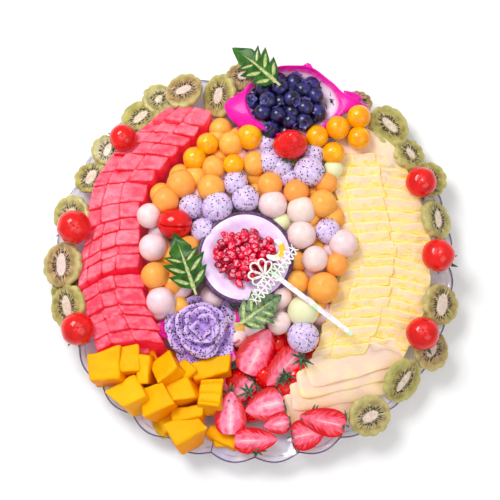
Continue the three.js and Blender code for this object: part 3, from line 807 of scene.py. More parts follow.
def dragon_shell():
    angle = turns(144)
    outline = 1 + 0.03 * np.cos(2 * angle + 0.5) - 0.05 * bump(angle, 0.75, 0.35) - 0.07 * bump(angle, -0.62, 0.3)
    outer = [(math.sin(t), -math.cos(t)) for t in np.linspace(0.15, math.pi / 2, 16)]
    rim = [(1.005, 0.03), (0.995, 0.06), (0.975, 0.08), (0.95, 0.08), (0.93, 0.065)]
    flesh = [(0.92, 0.05), (0.9, 0.02), (0.86, -0.03), (0.8, -0.08), (0.7, -0.16), (0.6, -0.34), (0.4, -0.5),
             (0.15, -0.56)]
    loops, tints = [], []
    for number, (share, level) in enumerate(outer + rim + flesh):
        inside = number >= len(outer) + len(rim) - 1
        lobe = 21 * bump(angle, 3.4, 0.52, 4) * math.sin(math.pi * min(1, max(0, (0.04 - level) / 0.62))) ** 0.8
        tip = 17 * bump(angle, 0.0, 0.2) * share ** 6 * (0.2 if inside else 1)
        reach = SHELL_LONG * outline + tip + (0 if inside else lobe)
        width = SHELL_WIDE * outline + (0 if inside else 0.3 * lobe)
        lift = 3 * share ** 3 * np.sin(2 * angle + 0.6) + 9 * share ** 8 * bump(angle, 1.5, 0.75, 4)
        loops.append(ring(angle, share * reach, level * SHELL_DEEP + lift, share * width))
        tints.append([np.clip((0.93 - share) / 0.1, 0, 1) if inside else 0])
    kinds = np.repeat([0, 1], [len(outer) + len(rim) - 1, len(flesh)])[:, None]
    batch = Batch()
    batch.add(shaken(skinned(loops, None, kinds, tints), 0.6, 14, 5), SHELL)
    scales = [  # compass direction, start radius shares, height, length, width, lift, how brown the tip is
        (-4, 1.12, 0, 24, 20, -4, 1), (10, 1.1, -5, 20, 16, -6, 1), (72, 0.97, 7, 4, 11, 1, 0.3),
        (318, 0.86, -9, 13, 20, -3, 0.6), (214, 1.1, -12, 12, 24, 0, 0.3),
    ]
    for number, (way, share, height, length, width, lift, brown) in enumerate(scales):
        turn = math.radians(way)
        spot = (share * SHELL_LONG * math.cos(turn), share * SHELL_WIDE * math.sin(turn), height)
        at = SHELL @ shift(spot) @ turned(turn)
        form = scale_leaf(length, width, lift, number)
        batch.add(form._replace(tint=form.tint * brown), at)
    skin = dragon_skin_finish()
    flesh = dragon_flesh_finish("dragon fruit half flesh", "ee30aa", "f55cc0", "fae2f6", 0.95)
    batch.piece("dragon_fruit_half_shell", [skin, flesh], "dragon_skin", ["dragon_fruit_half"])
    seeds = Batch()
    draw = np.random.default_rng(23)
    for number in range(20):
        way = 0.12 if number == 0 else draw.uniform(-1.0, 1.1)
        share = 0.8 if number == 0 else draw.uniform(0.62, 0.88)
        level = np.interp(share, [0.6, 0.7, 0.8, 0.86, 0.91], [-0.34, -0.16, -0.08, -0.03, 0.02])
        spot = (share * SHELL_LONG * math.cos(way), share * SHELL_WIDE * math.sin(way), level * SHELL_DEEP + 0.4)
        at = SHELL @ shift(spot) @ turned(draw.uniform(0, 3))
        seeds.add(pip(5.6, 3.6, 1.4) if number == 0 else pip(1.7, 1.1, 1.0), at)
    return seeds


BLUEBERRIES = [  # x, y, top
    (40, 179, 58), (48, 170, 62), (25, 171, 66), (9, 170, 62), (13, 157, 68), (-4, 158, 58), (60, 164, 60),
    (37, 158, 68), (50, 151, 65), (8, 146, 65), (23, 143, 66), (62, 147, 59), (35, 137, 63), (26, 156, 62),
    (49, 137, 62), (16, 130, 60), (-1, 141, 57), (37, 147, 62), (7, 180, 54), (58, 177, 54), (31, 127, 56),
    (24, 180, 56), (35, 169, 58), (0, 168, 52), (44, 163, 58),
]


def blueberry(radius):
    """A berry with its five-lobed crown at the top."""
    angle = turns(30)
    lobes = 0.5 + 0.5 * np.cos(5 * angle)
    loops, tints = [], []
    for t in np.linspace(0.2, 2.68, 15):
        out, up = math.sin(t), -math.cos(t) * 0.9
        loops.append(ring(angle, out, up))
        tints.append([0])
    for out, up, flare in [(0.42, 0.85, 0.05), (0.44, 0.93, 0.14), (0.36, 0.9, 0.06), (0.3, 0.8, 0), (0.16, 0.76, 0)]:
        loops.append(ring(angle, out + flare * lobes, up + flare * 0.5 * lobes))
        tints.append([1 if out > 0.33 else 0.4])
    return scaled(skinned(loops, None, 0, tints), radius, radius, radius)


def blueberries():
    draw = np.random.default_rng(31)
    batch = Batch()
    batch.add(scaled(GLOBES[4], 36, 23, 10), place(32, 157, 44), 0.0)
    for x, y, top in BLUEBERRIES:
        radius = draw.uniform(8.9, 10.0)
        way = Vector((draw.normal(0, 0.7), draw.normal(0, 0.7), draw.uniform(0.1, 1)))
        batch.add(blueberry(radius), aimed((x, y, top - radius), way))
    batch.piece("blueberry_heap", [blueberry_finish()], "blueberry", ["blueberries"])


# ---- dragon fruit carved as a rose ----
ROSE = (-53, -69)
ROSE_RINGS = [  # petals, radius low and at the lip, height low and at the lip, half angle, start angle
    (7, 20, 35.5, 31, 40, 36, 10), (6, 14, 28, 37, 46, 42, 35), (5, 9.5, 21, 42, 51, 48, 5),
    (4, 5.5, 14, 46, 54.5, 54, 30), (3, 2, 7.5, 48, 56.5, 64, 75),
]


def petal(radius_low, radius_lip, low, lip, half_angle, seed):
    """A net for one petal about the X axis: rows from its root to its lip."""
    v = np.linspace(0, 1, 14)[:, None]
    u = np.linspace(-1, 1, 21)[None, :]
    angle = np.radians(half_angle) * u * (0.8 + 0.2 * v)
    radius = radius_low + (radius_lip - radius_low) * v ** 0.9
    radius = radius * (1 - 0.13 * np.abs(u) ** 3 * v) + 1.5 * np.sin(4 * angle + seed) * v ** 2
    height = low + (lip - low) * np.sin(v * math.pi / 2) ** 0.9 - 1.6 * v ** 6 - 2.6 * np.abs(u) ** 3 * v
    height = height + 0.7 * np.sin(7 * angle + 2 * seed) * v
    return np.stack([radius * np.cos(angle), radius * np.sin(angle), height], 2)


def rose():
    draw = np.random.default_rng(41)
    flesh, seeds = Batch(), Batch()
    centre = shift((*ROSE, 0))
    flesh.add(scaled(GLOBES[4], 27, 27, 21), centre @ shift((0, 0, 27)), 0.0)
    for count, radius_low, radius_lip, low, lip, half_angle, start in ROSE_RINGS:
        for k in range(count):
            net = petal(radius_low, radius_lip, low, lip, half_angle, float(draw.uniform(0, 6)))
            turn = math.radians(start + 360 * k / count + draw.normal(0, 9))
            at = centre @ turned(turn) @ turned(math.radians(draw.normal(0, 4.5)), "Y")
            rows, columns = net.shape[:2]
            lip_share = np.linspace(0, 1, rows)[:, None] ** 2.5 + np.zeros(columns)
            flesh.add(slab(net, 2.2, None, lip_share), at)
            area = (radius_lip + radius_low) * half_angle / 57 * math.hypot(radius_lip - radius_low, lip - low)
            for _ in range(int(area * 0.12)):
                i, j = int(draw.integers(3, rows - 1)), int(draw.integers(1, columns - 1))
                root = between(net[i, j], net[i + 1, j], draw.uniform())
                beside = net[i, j + 1] - net[i, j]
                spot = root + beside * draw.uniform(-0.5, 0.5)
                normal = np.cross(beside, net[i + 1, j] - net[i, j])
                normal /= np.linalg.norm(normal)
                side = -1 if draw.uniform() < 0.75 else 1
                local = aimed(spot + normal * side * 1.25, side * normal, draw.uniform(0, 3))
                seeds.add(pip(draw.uniform(1.5, 2.1), 1.2, 0.8), at @ local)
    flesh.piece("dragon_fruit_rose_petals", [dragon_flesh_finish("rose flesh", "b084d6", "dab6f4", "f0d4fa", 0.75)],
                "dragon_flesh", ["dragon_fruit_rose"])
    peel = Batch()
    peel.add(scaled(GLOBES[4], 31, 31, 17), centre @ shift((0, 0, 23)), 0.0)
    for way, length, width, height, lift in [
        (178, 18, 26, 33, 5), (150, 15, 20, 30, 4), (20, 17, 24, 35, 5), (345, 14, 20, 33, 5), (318, 19, 24, 33, 4),
        (240, 9, 22, 28, 4), (110, 12, 20, 29, 5),
    ]:
        at = centre @ turned(math.radians(way)) @ shift((26, 0, height))
        peel.add(scale_leaf(length, width, lift, way), at)
    peel.piece("dragon_fruit_rose_peel", [dragon_skin_finish()], "dragon_skin")
    return seeds


# ---- carved leaves ----
LEAF_LOBE_ENDS = (0.0, 0.2, 0.39, 0.56)


def carved_leaf(long, wide, arch):
    """A leaf along +Y from its stalk: three pairs of pointed lobes, then a plain blade, pared along its midrib."""
    v = np.linspace(0, 1, 111)[:, None]
    u = np.linspace(-1, 1, 37)[None, :]
    width = wide / 2 * 0.58 * np.clip((1 - v) / 0.44, 0, 1) ** 0.75 * (1 - 0.2 * np.clip((0.64 - v) / 0.08, 0, 1))
    part = np.zeros_like(v)
    for start, end, reach in zip(LEAF_LOBE_ENDS, LEAF_LOBE_ENDS[1:], (0.86, 0.94, 0.82)):
        share = np.clip((v - start) / (end - start), 0, 0.999)
        tooth = np.where(share < 0.72, share / 0.72, (1 - share) / 0.28)
        inside = (v >= start) & (v < end)
        width = np.where(inside, wide / 2 * reach * (0.6 + 0.4 * tooth ** 0.9), width)
        part = np.where(inside, share, part)
    lobed = v < LEAF_LOBE_ENDS[-1]
    x = u * width
    share = np.clip((np.abs(u) - 0.14) / 0.72, 0, 1)
    lens = 2.5 * np.sin(math.pi * share) ** 0.6 * lobed
    off = np.abs(part - 0.5) * 0.19 * long
    side_cut = np.clip((lens - off) / 0.8 + 0.3, 0, 1) * (lens > 0.05)
    rib = np.clip(((2.1 - 2.1 * v) - np.abs(x)) / 0.5 + 0.5, 0, 1) * (v < 0.8)
    cut = np.maximum(side_cut, rib)
    sweep = 0.55 * np.clip((0.85 - v) / 0.4, 0, 1)
    y = long * (0.02 + 0.98 * v) + sweep * np.abs(x)
    z = arch * np.sin(math.pi * v) + 2.5 * (x / wide * 2) ** 2 + 0.5 * np.sin(16 * v + 2 * np.abs(u)) - 0.55 * cut
    local = np.stack([x, v * long + 0 * x, cut], 2)
    return slab(np.stack([x, y, z], 2), 1.5, local)


def leaves():
    finish = leaf_finish()
    for name, at, long, wide, arch, pale in [
        ("leaf_back", place(22, 172, 69, 50, 3, 140), 58, 42, 5, 0.0),
        ("leaf_left", place(-58, -34, 60, 20, 4, 290), 60, 46, 5, 0.0),
        ("leaf_front", place(-15, -66, 56, -55, 0, 0), 50, 42, 4, 0.7),
    ]:
        batch = Batch()
        batch.add(carved_leaf(long, wide, arch), at, pale)
        stalk = [np.stack([1.3 * np.cos(turns(10)), np.full(10, y), np.sin(turns(10))], 1)[::-1] for y in (-4, 1, 6)]
        batch.add(skinned(stalk, np.tile([0, 0, 1.0], (3, 10, 1))), at)
        batch.piece(name + "_carved", [finish], "leaf", [name])


# ---- topper: scrollwork and a crescent on a flat stick ----
TOPPER = place(18.5, -19, 66, 53, 7, -37)


def stroke(path, wide, thick, tint=0.0, ends=0.5):
    """A flat band along a path in the XY plane, narrowing towards its ends."""
    path = np.asarray(path, float)
    way = np.gradient(path, axis=0)
    way /= np.maximum(np.linalg.norm(way, axis=1, keepdims=True), 1e-9)
    side = np.stack([-way[:, 1], way[:, 0]], 1)
    share = np.linspace(-1, 1, len(path))
    half = wide / 2 * (ends + (1 - ends) * np.sqrt(np.clip(1 - share ** 4, 0, 1)))
    loops = []
    for spot, out, reach in zip(path, side, half):
        left, right = spot + out * reach, spot - out * reach
        soft_left, soft_right = spot + out * (reach - 0.3), spot - out * (reach - 0.3)
        edge = thick / 2 - 0.3
        section = [(right, edge), (soft_right, thick / 2), (soft_left, thick / 2), (left, edge), (left, -edge),
                   (soft_left, -thick / 2), (soft_right, -thick / 2), (right, -edge)]
        loops.append([(p[0], p[1], z) for p, z in section][::-1])
    return skinned(loops, None, 0, tint)


def teardrop(x, y, long, wide, way):
    """A loop that starts and ends at a point and swells along a direction."""
    t = np.linspace(0, 1, 48)
    along, across = long * np.sin(math.pi * t) ** 1.2, wide / 2 * np.sin(FULL_TURN * t) * np.sin(math.pi * t) ** 0.4
    c, s = math.cos(math.radians(way)), math.sin(math.radians(way))
    return np.stack([x + along * c - across * s, y + along * s + across * c], 1)


def topper():
    batch = Batch()
    stick = np.stack([np.zeros(24), np.linspace(-95, 2, 24)], 1)
    batch.add(stroke(stick, 5.0, 2.6, 0.0, 0.85), TOPPER)
    x = np.linspace(-34, 34, 260)
    for side in (1, -1):
        wave = np.stack([x, side * 6.2 * np.sin(x * math.pi / 5.2) * (1 - (x / 44) ** 4)], 1)
        batch.add(stroke(wave, 1.5, 2.4), TOPPER @ shift((0, 0, side * 0.2)))
    batch.add(stroke(np.stack([np.linspace(-33, 33, 40), np.zeros(40)], 1), 1.4, 2.2), TOPPER)
    for long, wide, way in [(17, 9, 90), (16, 8, 52), (16, 8, 128), (14, 7, 18), (14, 7, 162)]:
        batch.add(stroke(teardrop(-6, 6.5, long, wide, way), 1.7, 2.4, 0.0, 0.8), TOPPER)
    arc = np.radians(np.linspace(165, 395, 44))
    moon = np.stack([19 + 8.4 * np.cos(arc), 15 + 8.4 * np.sin(arc)], 1)
    gold = np.exp(-((np.linspace(-1, 1, 44) - 0.15) / 0.42) ** 4)[:, None] + np.zeros(8)
    batch.add(stroke(moon, 6.0, 2.6, gold, 0.06), TOPPER)
    batch.piece("topper_scrollwork", [acrylic_finish()], "acrylic", ["topper"])


# ---- cherry tomatoes ----
def tomato_form(radius, seed, facets=0, slit=0.0):
    angle = turns(72)
    lobes = 1 + 0.012 * np.cos(5 * angle + seed) + 0.008 * np.cos(3 * angle + 2 * seed)
    if facets:
        wedge = FULL_TURN / facets
        lobes = lobes * (0.88 + 0.12 * math.cos(wedge / 2) / np.cos((angle + seed) % wedge - wedge / 2) ** 2)
    loops, unit, tints = [], [], []
    for t in np.linspace(0.05, math.pi - 0.05, 44):
        out = math.sin(t) ** 0.92
        up = -math.cos(t) * 0.94
        dimple = 0.05 * math.exp(-(out / 0.16) ** 2) * (1 if up > 0 else 2.4)
        groove = slit * math.exp(-((up - 0.02) / 0.045) ** 2) * np.clip(np.sin(angle) * 1.5, 0, 1)
        radial = out * lobes * (1 - groove)
        loops.append(ring(angle, radial, up - math.copysign(dimple, up)) * radius)
        unit.append(ring(angle, radial, up))
        scar = math.exp(-(out * radius / 1.3) ** 2) if up > 0 else 0
        tints.append(np.maximum(scar, (groove > 0.04) * 0.9))
    return skinned(loops, unit, 0, tints)


def sepal(long, wide, curl, seed):
    """A narrow pointed leaf along +X from the origin, curling up."""
    v = np.linspace(0, 1, 10)[:, None]
    u = np.linspace(-1, 1, 5)[None, :]
    half = wide / 2 * np.sin(math.pi * (0.2 + 0.8 * v)) ** 0.8
    side = 0.12 * long * math.sin(seed * 2.7) * v ** 2
    points = np.stack([v * long + 0 * u, u * half + side, curl * v ** 2 + 0.25 * wide * u ** 2 + 0 * v], 2)
    return slab(points, 0.9, None, v + 0 * u)


def star(batch, at, count, long, wide, curl, seed, stalk=4.0):
    """A calyx about local +Z at a place: a ring of sepals round the stump of a stalk."""
    draw = np.random.default_rng(seed)
    for k in range(count):
        turn = FULL_TURN * k / count + draw.normal(0, 0.15)
        leaf = sepal(long * draw.uniform(0.75, 1.15), wide, curl + draw.normal(0, 1.2), seed + k)
        batch.add(leaf, at @ turned(turn))
    bend = draw.uniform(-1, 1, 2)
    loops = [ring(turns(9), r, z) + [bend[0] * z * 0.2, bend[1] * z * 0.2, 0]
             for r, z in ((1.6, -1.2), (1.1, 0.6), (0.9, stalk * 0.6), (1.1, stalk))]
    batch.add(skinned(loops, None, 0, 0.8), at)


def tomatoes(calyxes):
    finish = tomato_finish()
    for number in range(1, 8):
        node = f"cherry_tomato_{number}"
        spot, size = middle(node)
        radius = size[1] / 2 * 1.02
        outward = math.degrees(math.atan2(spot[1], spot[0]))
        batch = Batch()
        if number == 7:
            batch.add(scaled(tomato_form(radius, number, 0, 0.14), 1.06, 0.96, 0.96), place(*spot) @
                      turned(math.radians(112), "X") @ turned(math.radians(-4), "Y"))
        else:
            at = place(*spot, 40 * number, 9, outward + 150)
            batch.add(tomato_form(radius, number, 8 if number in (2, 3) else 0), at)
            star(calyxes, at @ shift((0, 0, -0.86 * radius)) @ turned(math.pi, "X"),
                 6, radius * 1.15, 4.6, -4.5, number)
        batch.piece(node + "_ripe", [finish], "tomato", [node])


# ---- strawberries ----
def berry_radius(t):
    """Share of the half width at a share of the length, from the stalk to the tip."""
    return 1.934 * t ** 0.35 * (1 - t) ** 0.68


def berry_dots(count, long, wide, draw):
    """Places for the seeds on the skin: position and the share of the length of each."""
    dots = []
    for k in range(count):
        t = float(np.clip(0.05 + 0.9 * ((k + 0.5) / count) ** 1.05 + draw.normal(0, 0.006), 0.04, 0.96))
        way = k * GOLDEN_ANGLE + draw.normal(0, 0.08)
        radius = berry_radius(t) * wide / 2
        dots.append((radius * math.sin(way), long * t, radius * math.cos(way)))
    return np.array(dots)


def strawberry_form(long, wide, half, dots, ripe=0.0, net=(48, 56)):
    """The stalk end is at the origin and the tip lies along +Y. A half has its cut side up."""
    around = np.linspace(math.pi / 2, 1.5 * math.pi, 40) if half else turns(net[1])
    face = np.linspace(-1, 1, 23)[1:-1] if half else np.zeros(0)
    loops, local, tints = [], [], []
    for t in 0.5 - 0.5 * np.cos(np.linspace(0.2, math.pi - 0.16, net[0])):
        radius = berry_radius(t) * wide / 2
        skin = np.stack([radius * np.sin(around), np.full(len(around), long * t), radius * np.cos(around)], 1)
        gap = np.linalg.norm(skin[:, None] - dots[None], axis=2).min(1)
        inward = 0.55 * np.exp(-(gap / 1.05) ** 2) * (np.abs(skin[:, 2]) > 0.6 if half else 1)
        skin *= (1 - inward / np.maximum(radius, 2))[:, None] * [1, 0, 1] + [0, 1, 0]
        dome = 0.5 * (1 - face ** 2) * min(1, radius / 8)
        cut = np.stack([face * radius, np.full(len(face), long * t), dome], 1)
        loops.append(np.vstack([skin, cut]))
        across = np.concatenate([np.sign(np.sin(around)), face])
        local.append(np.stack([across, np.full(len(across), t), np.full(len(across), ripe)], 1))
        tints.append([1 - min(1, t / 0.16)])
    kinds = np.concatenate([np.zeros(len(around) - 1), np.ones(len(face) + 1)]) if half else np.zeros(len(around))
    return skinned(loops, local, kinds.astype(int)[None, :], tints)


HALVES = [  # x, y, z, direction of the tip, lean back, sideways tilt, length, width, calyx
    (-8, -112, 29, 62, 12, 26, 50, 38, False),
    (46, -88, 31, 226, 6, -28, 50, 30, True),
    (-36, -112, 22, 285, 0, 20, 26, 22, True),
    (-2, -118, 24, 225, 4, -20, 30, 24, True),
    (-24, -171, 33, 88, 10, 10, 42, 31, False),
    (29, -138, 31, 195, 8, -14, 40, 33, True),
    (-20, -177, 34, 2, 4, 12, 42, 26, False),
    (34, -158, 28, 190, 4, -12, 26, 22, False),
    (35, -174, 33, 12, 6, 16, 34, 31, True),
    (88, -163, 38, 168, 4, -14, 46, 28, True),
]
RIPE_HALVES = {2: 0.5, 6: 0.15, 7: 0.6, 8: 0.3, 9: 0.7, 10: 0.9}
LOOSE_CALYXES = [  # x, y, height, length of a leaf
    (32, 99, 55, 9), (-24, -133, 36, 12), (-6, -130, 37, 11), (46, -98, 41, 13), (30, -114, 34, 10),
    (54, -154, 36, 12), (2, -186, 32, 9), (24, -118, 32, 10),
]
BERRY_BED = [  # x, y, top, direction of the tip, length, width
    (22, -92, 32, 70, 32, 26), (44, -104, 31, 250, 32, 25), (6, -104, 30, 300, 30, 24), (-28, -124, 28, 40, 28, 22),
    (16, -122, 30, 350, 32, 24), (8, -146, 29, 200, 28, 18), (14, -158, 29, 90, 26, 16), (40, -134, 29, 120, 30, 21),
    (-34, -148, 28, 320, 26, 15), (2, -86, 28, 160, 28, 22), (60, -90, 32, 230, 32, 25), (66, -78, 32, 200, 28, 22),
]


def strawberries(calyxes):
    skin, flesh = strawberry_skin_finish(), strawberry_flesh_finish()
    seeds = Batch()
    draw = np.random.default_rng(61)

    def sow(dots, at):
        for dot in dots:
            spot = Vector(dot) - Vector((dot[0], 0, dot[2])).normalized() * 0.3
            seeds.add(pip(1.0, 0.85, 1.7), at @ shift(spot) @ turned(-math.pi / 2, "X"))

    def berry(name, node, at, long, wide, half, calyx, ripe=0.0):
        dots = berry_dots(int(long * wide / (11 if half else 9)), long, wide, draw)
        batch = Batch()
        batch.add(strawberry_form(long, wide, half, dots, ripe), at)
        batch.piece(name, [skin, flesh], "strawberry", [node])
        sow([dot for dot in dots if not half or dot[2] < -0.8], at)
        if calyx:
            end = at @ shift((0, 1.0, -0.18 * wide if half else 0)) @ turned(math.pi / 2, "X")
            star(calyxes, end, 9, wide * 0.56, wide * 0.12, -3.0, int(long * 7 + wide), 5.0)

    for number, (x, y, z, tip, back, side, long, wide, calyx) in enumerate(HALVES, 1):
        at = place(x, y, z, tip - 90, -back, tip) @ turned(math.radians(side), "Y")
        berry(f"strawberry_half_{number}_cut", f"strawberry_half_{number}", at, long, wide, True, calyx,
              RIPE_HALVES.get(number, 0.0))
    bed = Batch()
    for x, y, top, tip, long, wide in BERRY_BED:
        at = place(x, y, top - wide / 2, tip - 90)
        dots = berry_dots(int(long * wide / 9), long, wide, draw)
        bed.add(strawberry_form(long, wide, False, dots, net=(34, 44)), at)
        sow([dot for dot in dots if dot[2] > -3], at)
    bed.piece("strawberries_below", [skin], "strawberry")
    for number, (x, y, z, long) in enumerate(LOOSE_CALYXES):
        star(calyxes, place(x, y, z, 50 * number, 24, 70 * number), 7, long, 2.6, 3.0, 200 + number)
    whole = place(34, 109, 45, 0, -76, 96)
    berry("strawberry_whole_ripe", "strawberry_whole", whole @ Matrix.Diagonal((1.08, 1, 0.88, 1)), 35, 32, False, True)
    seeds.piece("strawberry_seeds", [seed_finish("strawberry seeds", "b84c18", "e09a48")], "strawberry")


# ---- kiwi slices ----
KIWI_THICK, KIWI_LOBES = 6.5, 11
ROSY_KIWIS = {2: 0.9, 4: 0.35, 9: 0.8, 10: 0.3, 11: 0.9, 12: 0.8, 17: 0.5, 18: 0.7, 20: 0.35}
KIWIS = [  # angle, radius from the centre, height, lean, its direction, size, core length, core width, core direction
    (166, 188, 32, 14, 165, 42, 14, 11, 90), (181.3, 190, 34, 24, 180, 46, 23, 11, 92),
    (188.6, 188, 26, 12, 188, 36, 14, 9, 60), (194, 189, 35, 26, 193, 42, 22, 10, 102),
    (152.6, 184, 30, 20, 152, 37, 16, 10, 60), (142.6, 186, 29, 9, 142, 36, 14, 7, 70),
    (128, 187, 27, 24, 128, 44, 18, 9, 42), (120.2, 193, 27, 10, 120, 36, 9, 7, 60),
    (112.4, 188, 34, 20, 112, 41, 17, 9, 25), (101.8, 172, 36, 38, 190, 44, 17, 11, 66),
    (93.6, 190, 31, 18, 93, 36, 11, 9, 30), (57.2, 193, 31, 16, 56, 30, 10, 8, 0),
    (45.6, 194, 29, 20, 46, 46, 20, 9, 132), (35, 190, 29, 34, 36, 38, 13, 9, 118),
    (25.5, 193, 30, 16, 26, 40, 14, 9, 110), (12.8, 185, 34, 44, 13, 43, 19, 10, 84),
    (346.5, 188, 33, 32, 347, 43, 22, 13, 78), (332.8, 194, 31, 16, 333, 40, 15, 9, 60),
    (320.5, 186, 34, 38, 321, 45, 24, 8, 56), (306.1, 189, 33, 18, 307, 43, 17, 10, 28),
]


def kiwi_form(size, core_long, core_wide, seed, hue):
    """A slice in the XY plane with a scalloped edge; its core lies along +X."""
    angle = turns(KIWI_LOBES * 8)
    lobe = np.abs(np.sin(angle * KIWI_LOBES / 2 + seed + 0.5 * np.sin(angle + 2 * seed))) ** 0.75
    base = size / 2 - 2.0
    outline = base + (1.6 + 0.8 * np.sin(2 * angle + 3 * seed)) * lobe + 0.9 * np.sin(2 * angle + seed)
    profile = [(0.2, -1), (0.45, -1), (0.7, -1), (0.9, -1), (0.97, -0.85), (0.995, -0.45), (1, 0), (0.993, 0.45),
               (0.965, 0.85), (0.9, 1), (0.8, 1.02), (0.68, 1), (0.56, 0.97), (0.45, 0.95), (0.35, 0.97), (0.25, 1.02),
               (0.15, 1.05), (0.06, 1.05)]
    loops, local, tints = [], [], []
    for share, level in profile:
        reach = share * (base + (outline - base) * share ** 2)
        x, y = reach * np.cos(angle), reach * np.sin(angle)
        loops.append(np.stack([x, y, np.full_like(x, level * KIWI_THICK / 2)], 1))
        local.append(np.stack([x, y, np.full_like(x, hue)], 1))
        rho = np.sqrt((x / (core_long / 2)) ** 2 + (y / (core_wide / 2)) ** 2)
        tints.append(reach * (1 - 1 / np.maximum(rho, 0.25)))
    return skinned(loops, local, 0, tints)


def kiwis():
    finish = kiwi_finish()
    seeds = Batch()
    for number, (angle, radius, z, lean, toward, size, core_long, core_wide, core_way) in enumerate(KIWIS, 1):
        draw = np.random.default_rng(70 + number)
        way = math.radians(angle)
        at = place(radius * math.cos(way), radius * math.sin(way), z, core_way, lean, toward)
        batch = Batch()
        batch.add(kiwi_form(size, core_long, core_wide, 0.7 * number, ROSY_KIWIS.get(number, 0.1)), at)
        batch.piece(f"kiwi_slice_{number}_cut", [finish], "kiwi", [f"kiwi_slice_{number}"])
        for k in range(int(30 + core_long * 1.5)):
            turn = k * GOLDEN_ANGLE + draw.normal(0, 0.1)
            a, b = core_long / 2, core_wide / 2
            edge = a * b / math.hypot(b * math.cos(turn), a * math.sin(turn))
            reach = min(edge + draw.uniform(0.8, 4.6), size / 2 - 5)
            spot = (reach * math.cos(turn), reach * math.sin(turn), KIWI_THICK / 2 * 0.98)
            seeds.add(pip(draw.uniform(1.9, 2.9), 1.0, 1.0), at @ shift(spot) @ turned(turn))
    seeds.piece("kiwi_seeds", [seed_finish("kiwi seeds", "15100f", "2b1d24")], "kiwi")


# ---- melon balls, dragon fruit balls and golden berries, each as x, y, top, size ----
CANTALOUPE = [
    (-24, 116, 58, 25), (-41, 92, 57, 24), (-73, 75, 60, 29), (-59, 83, 52, 24), (-43, 71, 60, 28),
    (-88, 58, 59, 27), (0, 96, 57, 25), (15, 74, 60, 25), (41, 67, 60, 25), (67, 55, 60, 28), (70, 77, 54, 24),
    (41, -23, 56, 24), (67, -29, 62, 31), (80, -6, 57, 23), (41, -2, 50, 22), (-98, -17, 60, 27), (-66, 9, 58, 29),
    (-82, 3, 50, 22), (-81, -24, 50, 24), (54, 42, 50, 24), (77, 42, 50, 24),
]
HONEYDEW = [
    (-104, 43, 58, 25), (-100, 11, 60, 28), (-92, -42, 60, 28), (18, 54, 60, 29), (46, 48, 61, 29),
    (46, 23, 62, 28), (87, 15, 60, 28), (26, 38, 50, 22), (59, -1, 62, 26), (47, -52, 61, 31), (25, -38, 56, 23),
    (24, -63, 56, 23), (78, 91, 52, 20), (-17, -75, 40, 22), (0, -67, 43, 23),
]
HONEYDEW_TINTS = (0.15, 0.05, 0.0, 0.15, 0.3, 0.2, 0.1, 0.9, 0.2, 0.8, 0.15, 0.2, 0.9, 0.1, 0.1)
DRAGON_BALLS = [
    (-19, 76, 58, 25), (-63, 52, 58, 25), (-37, 51, 63, 31), (-9, 60, 60, 28), (-51, 28, 58, 25),
    (54, 87, 64, 31), (58, 106, 54, 24), (15, 98, 58, 27), (26, 92, 56, 24), (13, 118, 52, 22), (72, 28, 57, 25),
    (47, -77, 61, 31), (33, 82, 52, 20),
]
GOLDEN_BERRIES = [
    (-47, 116, 58, 22), (-60, 101, 58, 23), (-21, 94, 60, 21), (-5, 123, 60, 26), (62, 123, 60, 23),
    (83, 132, 60, 24), (104, 143, 61, 24), (104, 122, 58, 23), (78, 106, 58, 23),
]
FILLER_BALL, FILLER_STEP = 24, 19  # size, and spacing of the hidden balls that fill the heaps
FILLER_GAP = (5, 22)  # how far a filler's middle is from that of the nearest ball that shows
COCONUT_CLEAR = 54  # how far it is at least from the coconut's middle
EXTRA_FILLERS = [(-24, -58), (-82, -46), (-94, 28), (22, -62), (66, -52), (-34, 134), (-42, -36)]


def scooped(size, seed):
    """A ball from a melon scoop: round, with a faint flat where the scoop went in."""
    form = shaken(GLOBES[4], 0.018, 1.1, seed)
    corners = form.corners.copy()
    corners[:, 2] = np.where(corners[:, 2] < -0.8, -0.8 + (corners[:, 2] + 0.8) * 0.4, corners[:, 2])
    return form._replace(corners=corners * size / 2, tint=np.zeros(len(corners)))


def ball_place(x, y, top, size, draw):
    way = Vector((draw.normal(0, 0.7), draw.normal(0, 0.7), 1))
    return aimed((x, y, top - size / 2), way, draw.uniform(0, FULL_TURN))


def sow_ball(seeds, x, y, top, size, draw):
    """Scatters seeds evenly over a ball, down to a little below its middle."""
    count = int(size * size / 8.5)
    for k in range(count):
        height = 1 - 1.7 * (k + 0.5) / count
        flat = math.sqrt(1 - height ** 2)
        turn = k * GOLDEN_ANGLE + draw.normal(0, 0.6)
        way = Vector((flat * math.cos(turn), flat * math.sin(turn), height + draw.normal(0, 0.08)))
        way.normalize()
        spot = Vector((x, y, top - size / 2)) + way * (size / 2 + 0.15)
        seeds.add(pip(draw.uniform(1.5, 2.1), 1.25, 0.9), aimed(spot, way, draw.uniform(0, 3)))


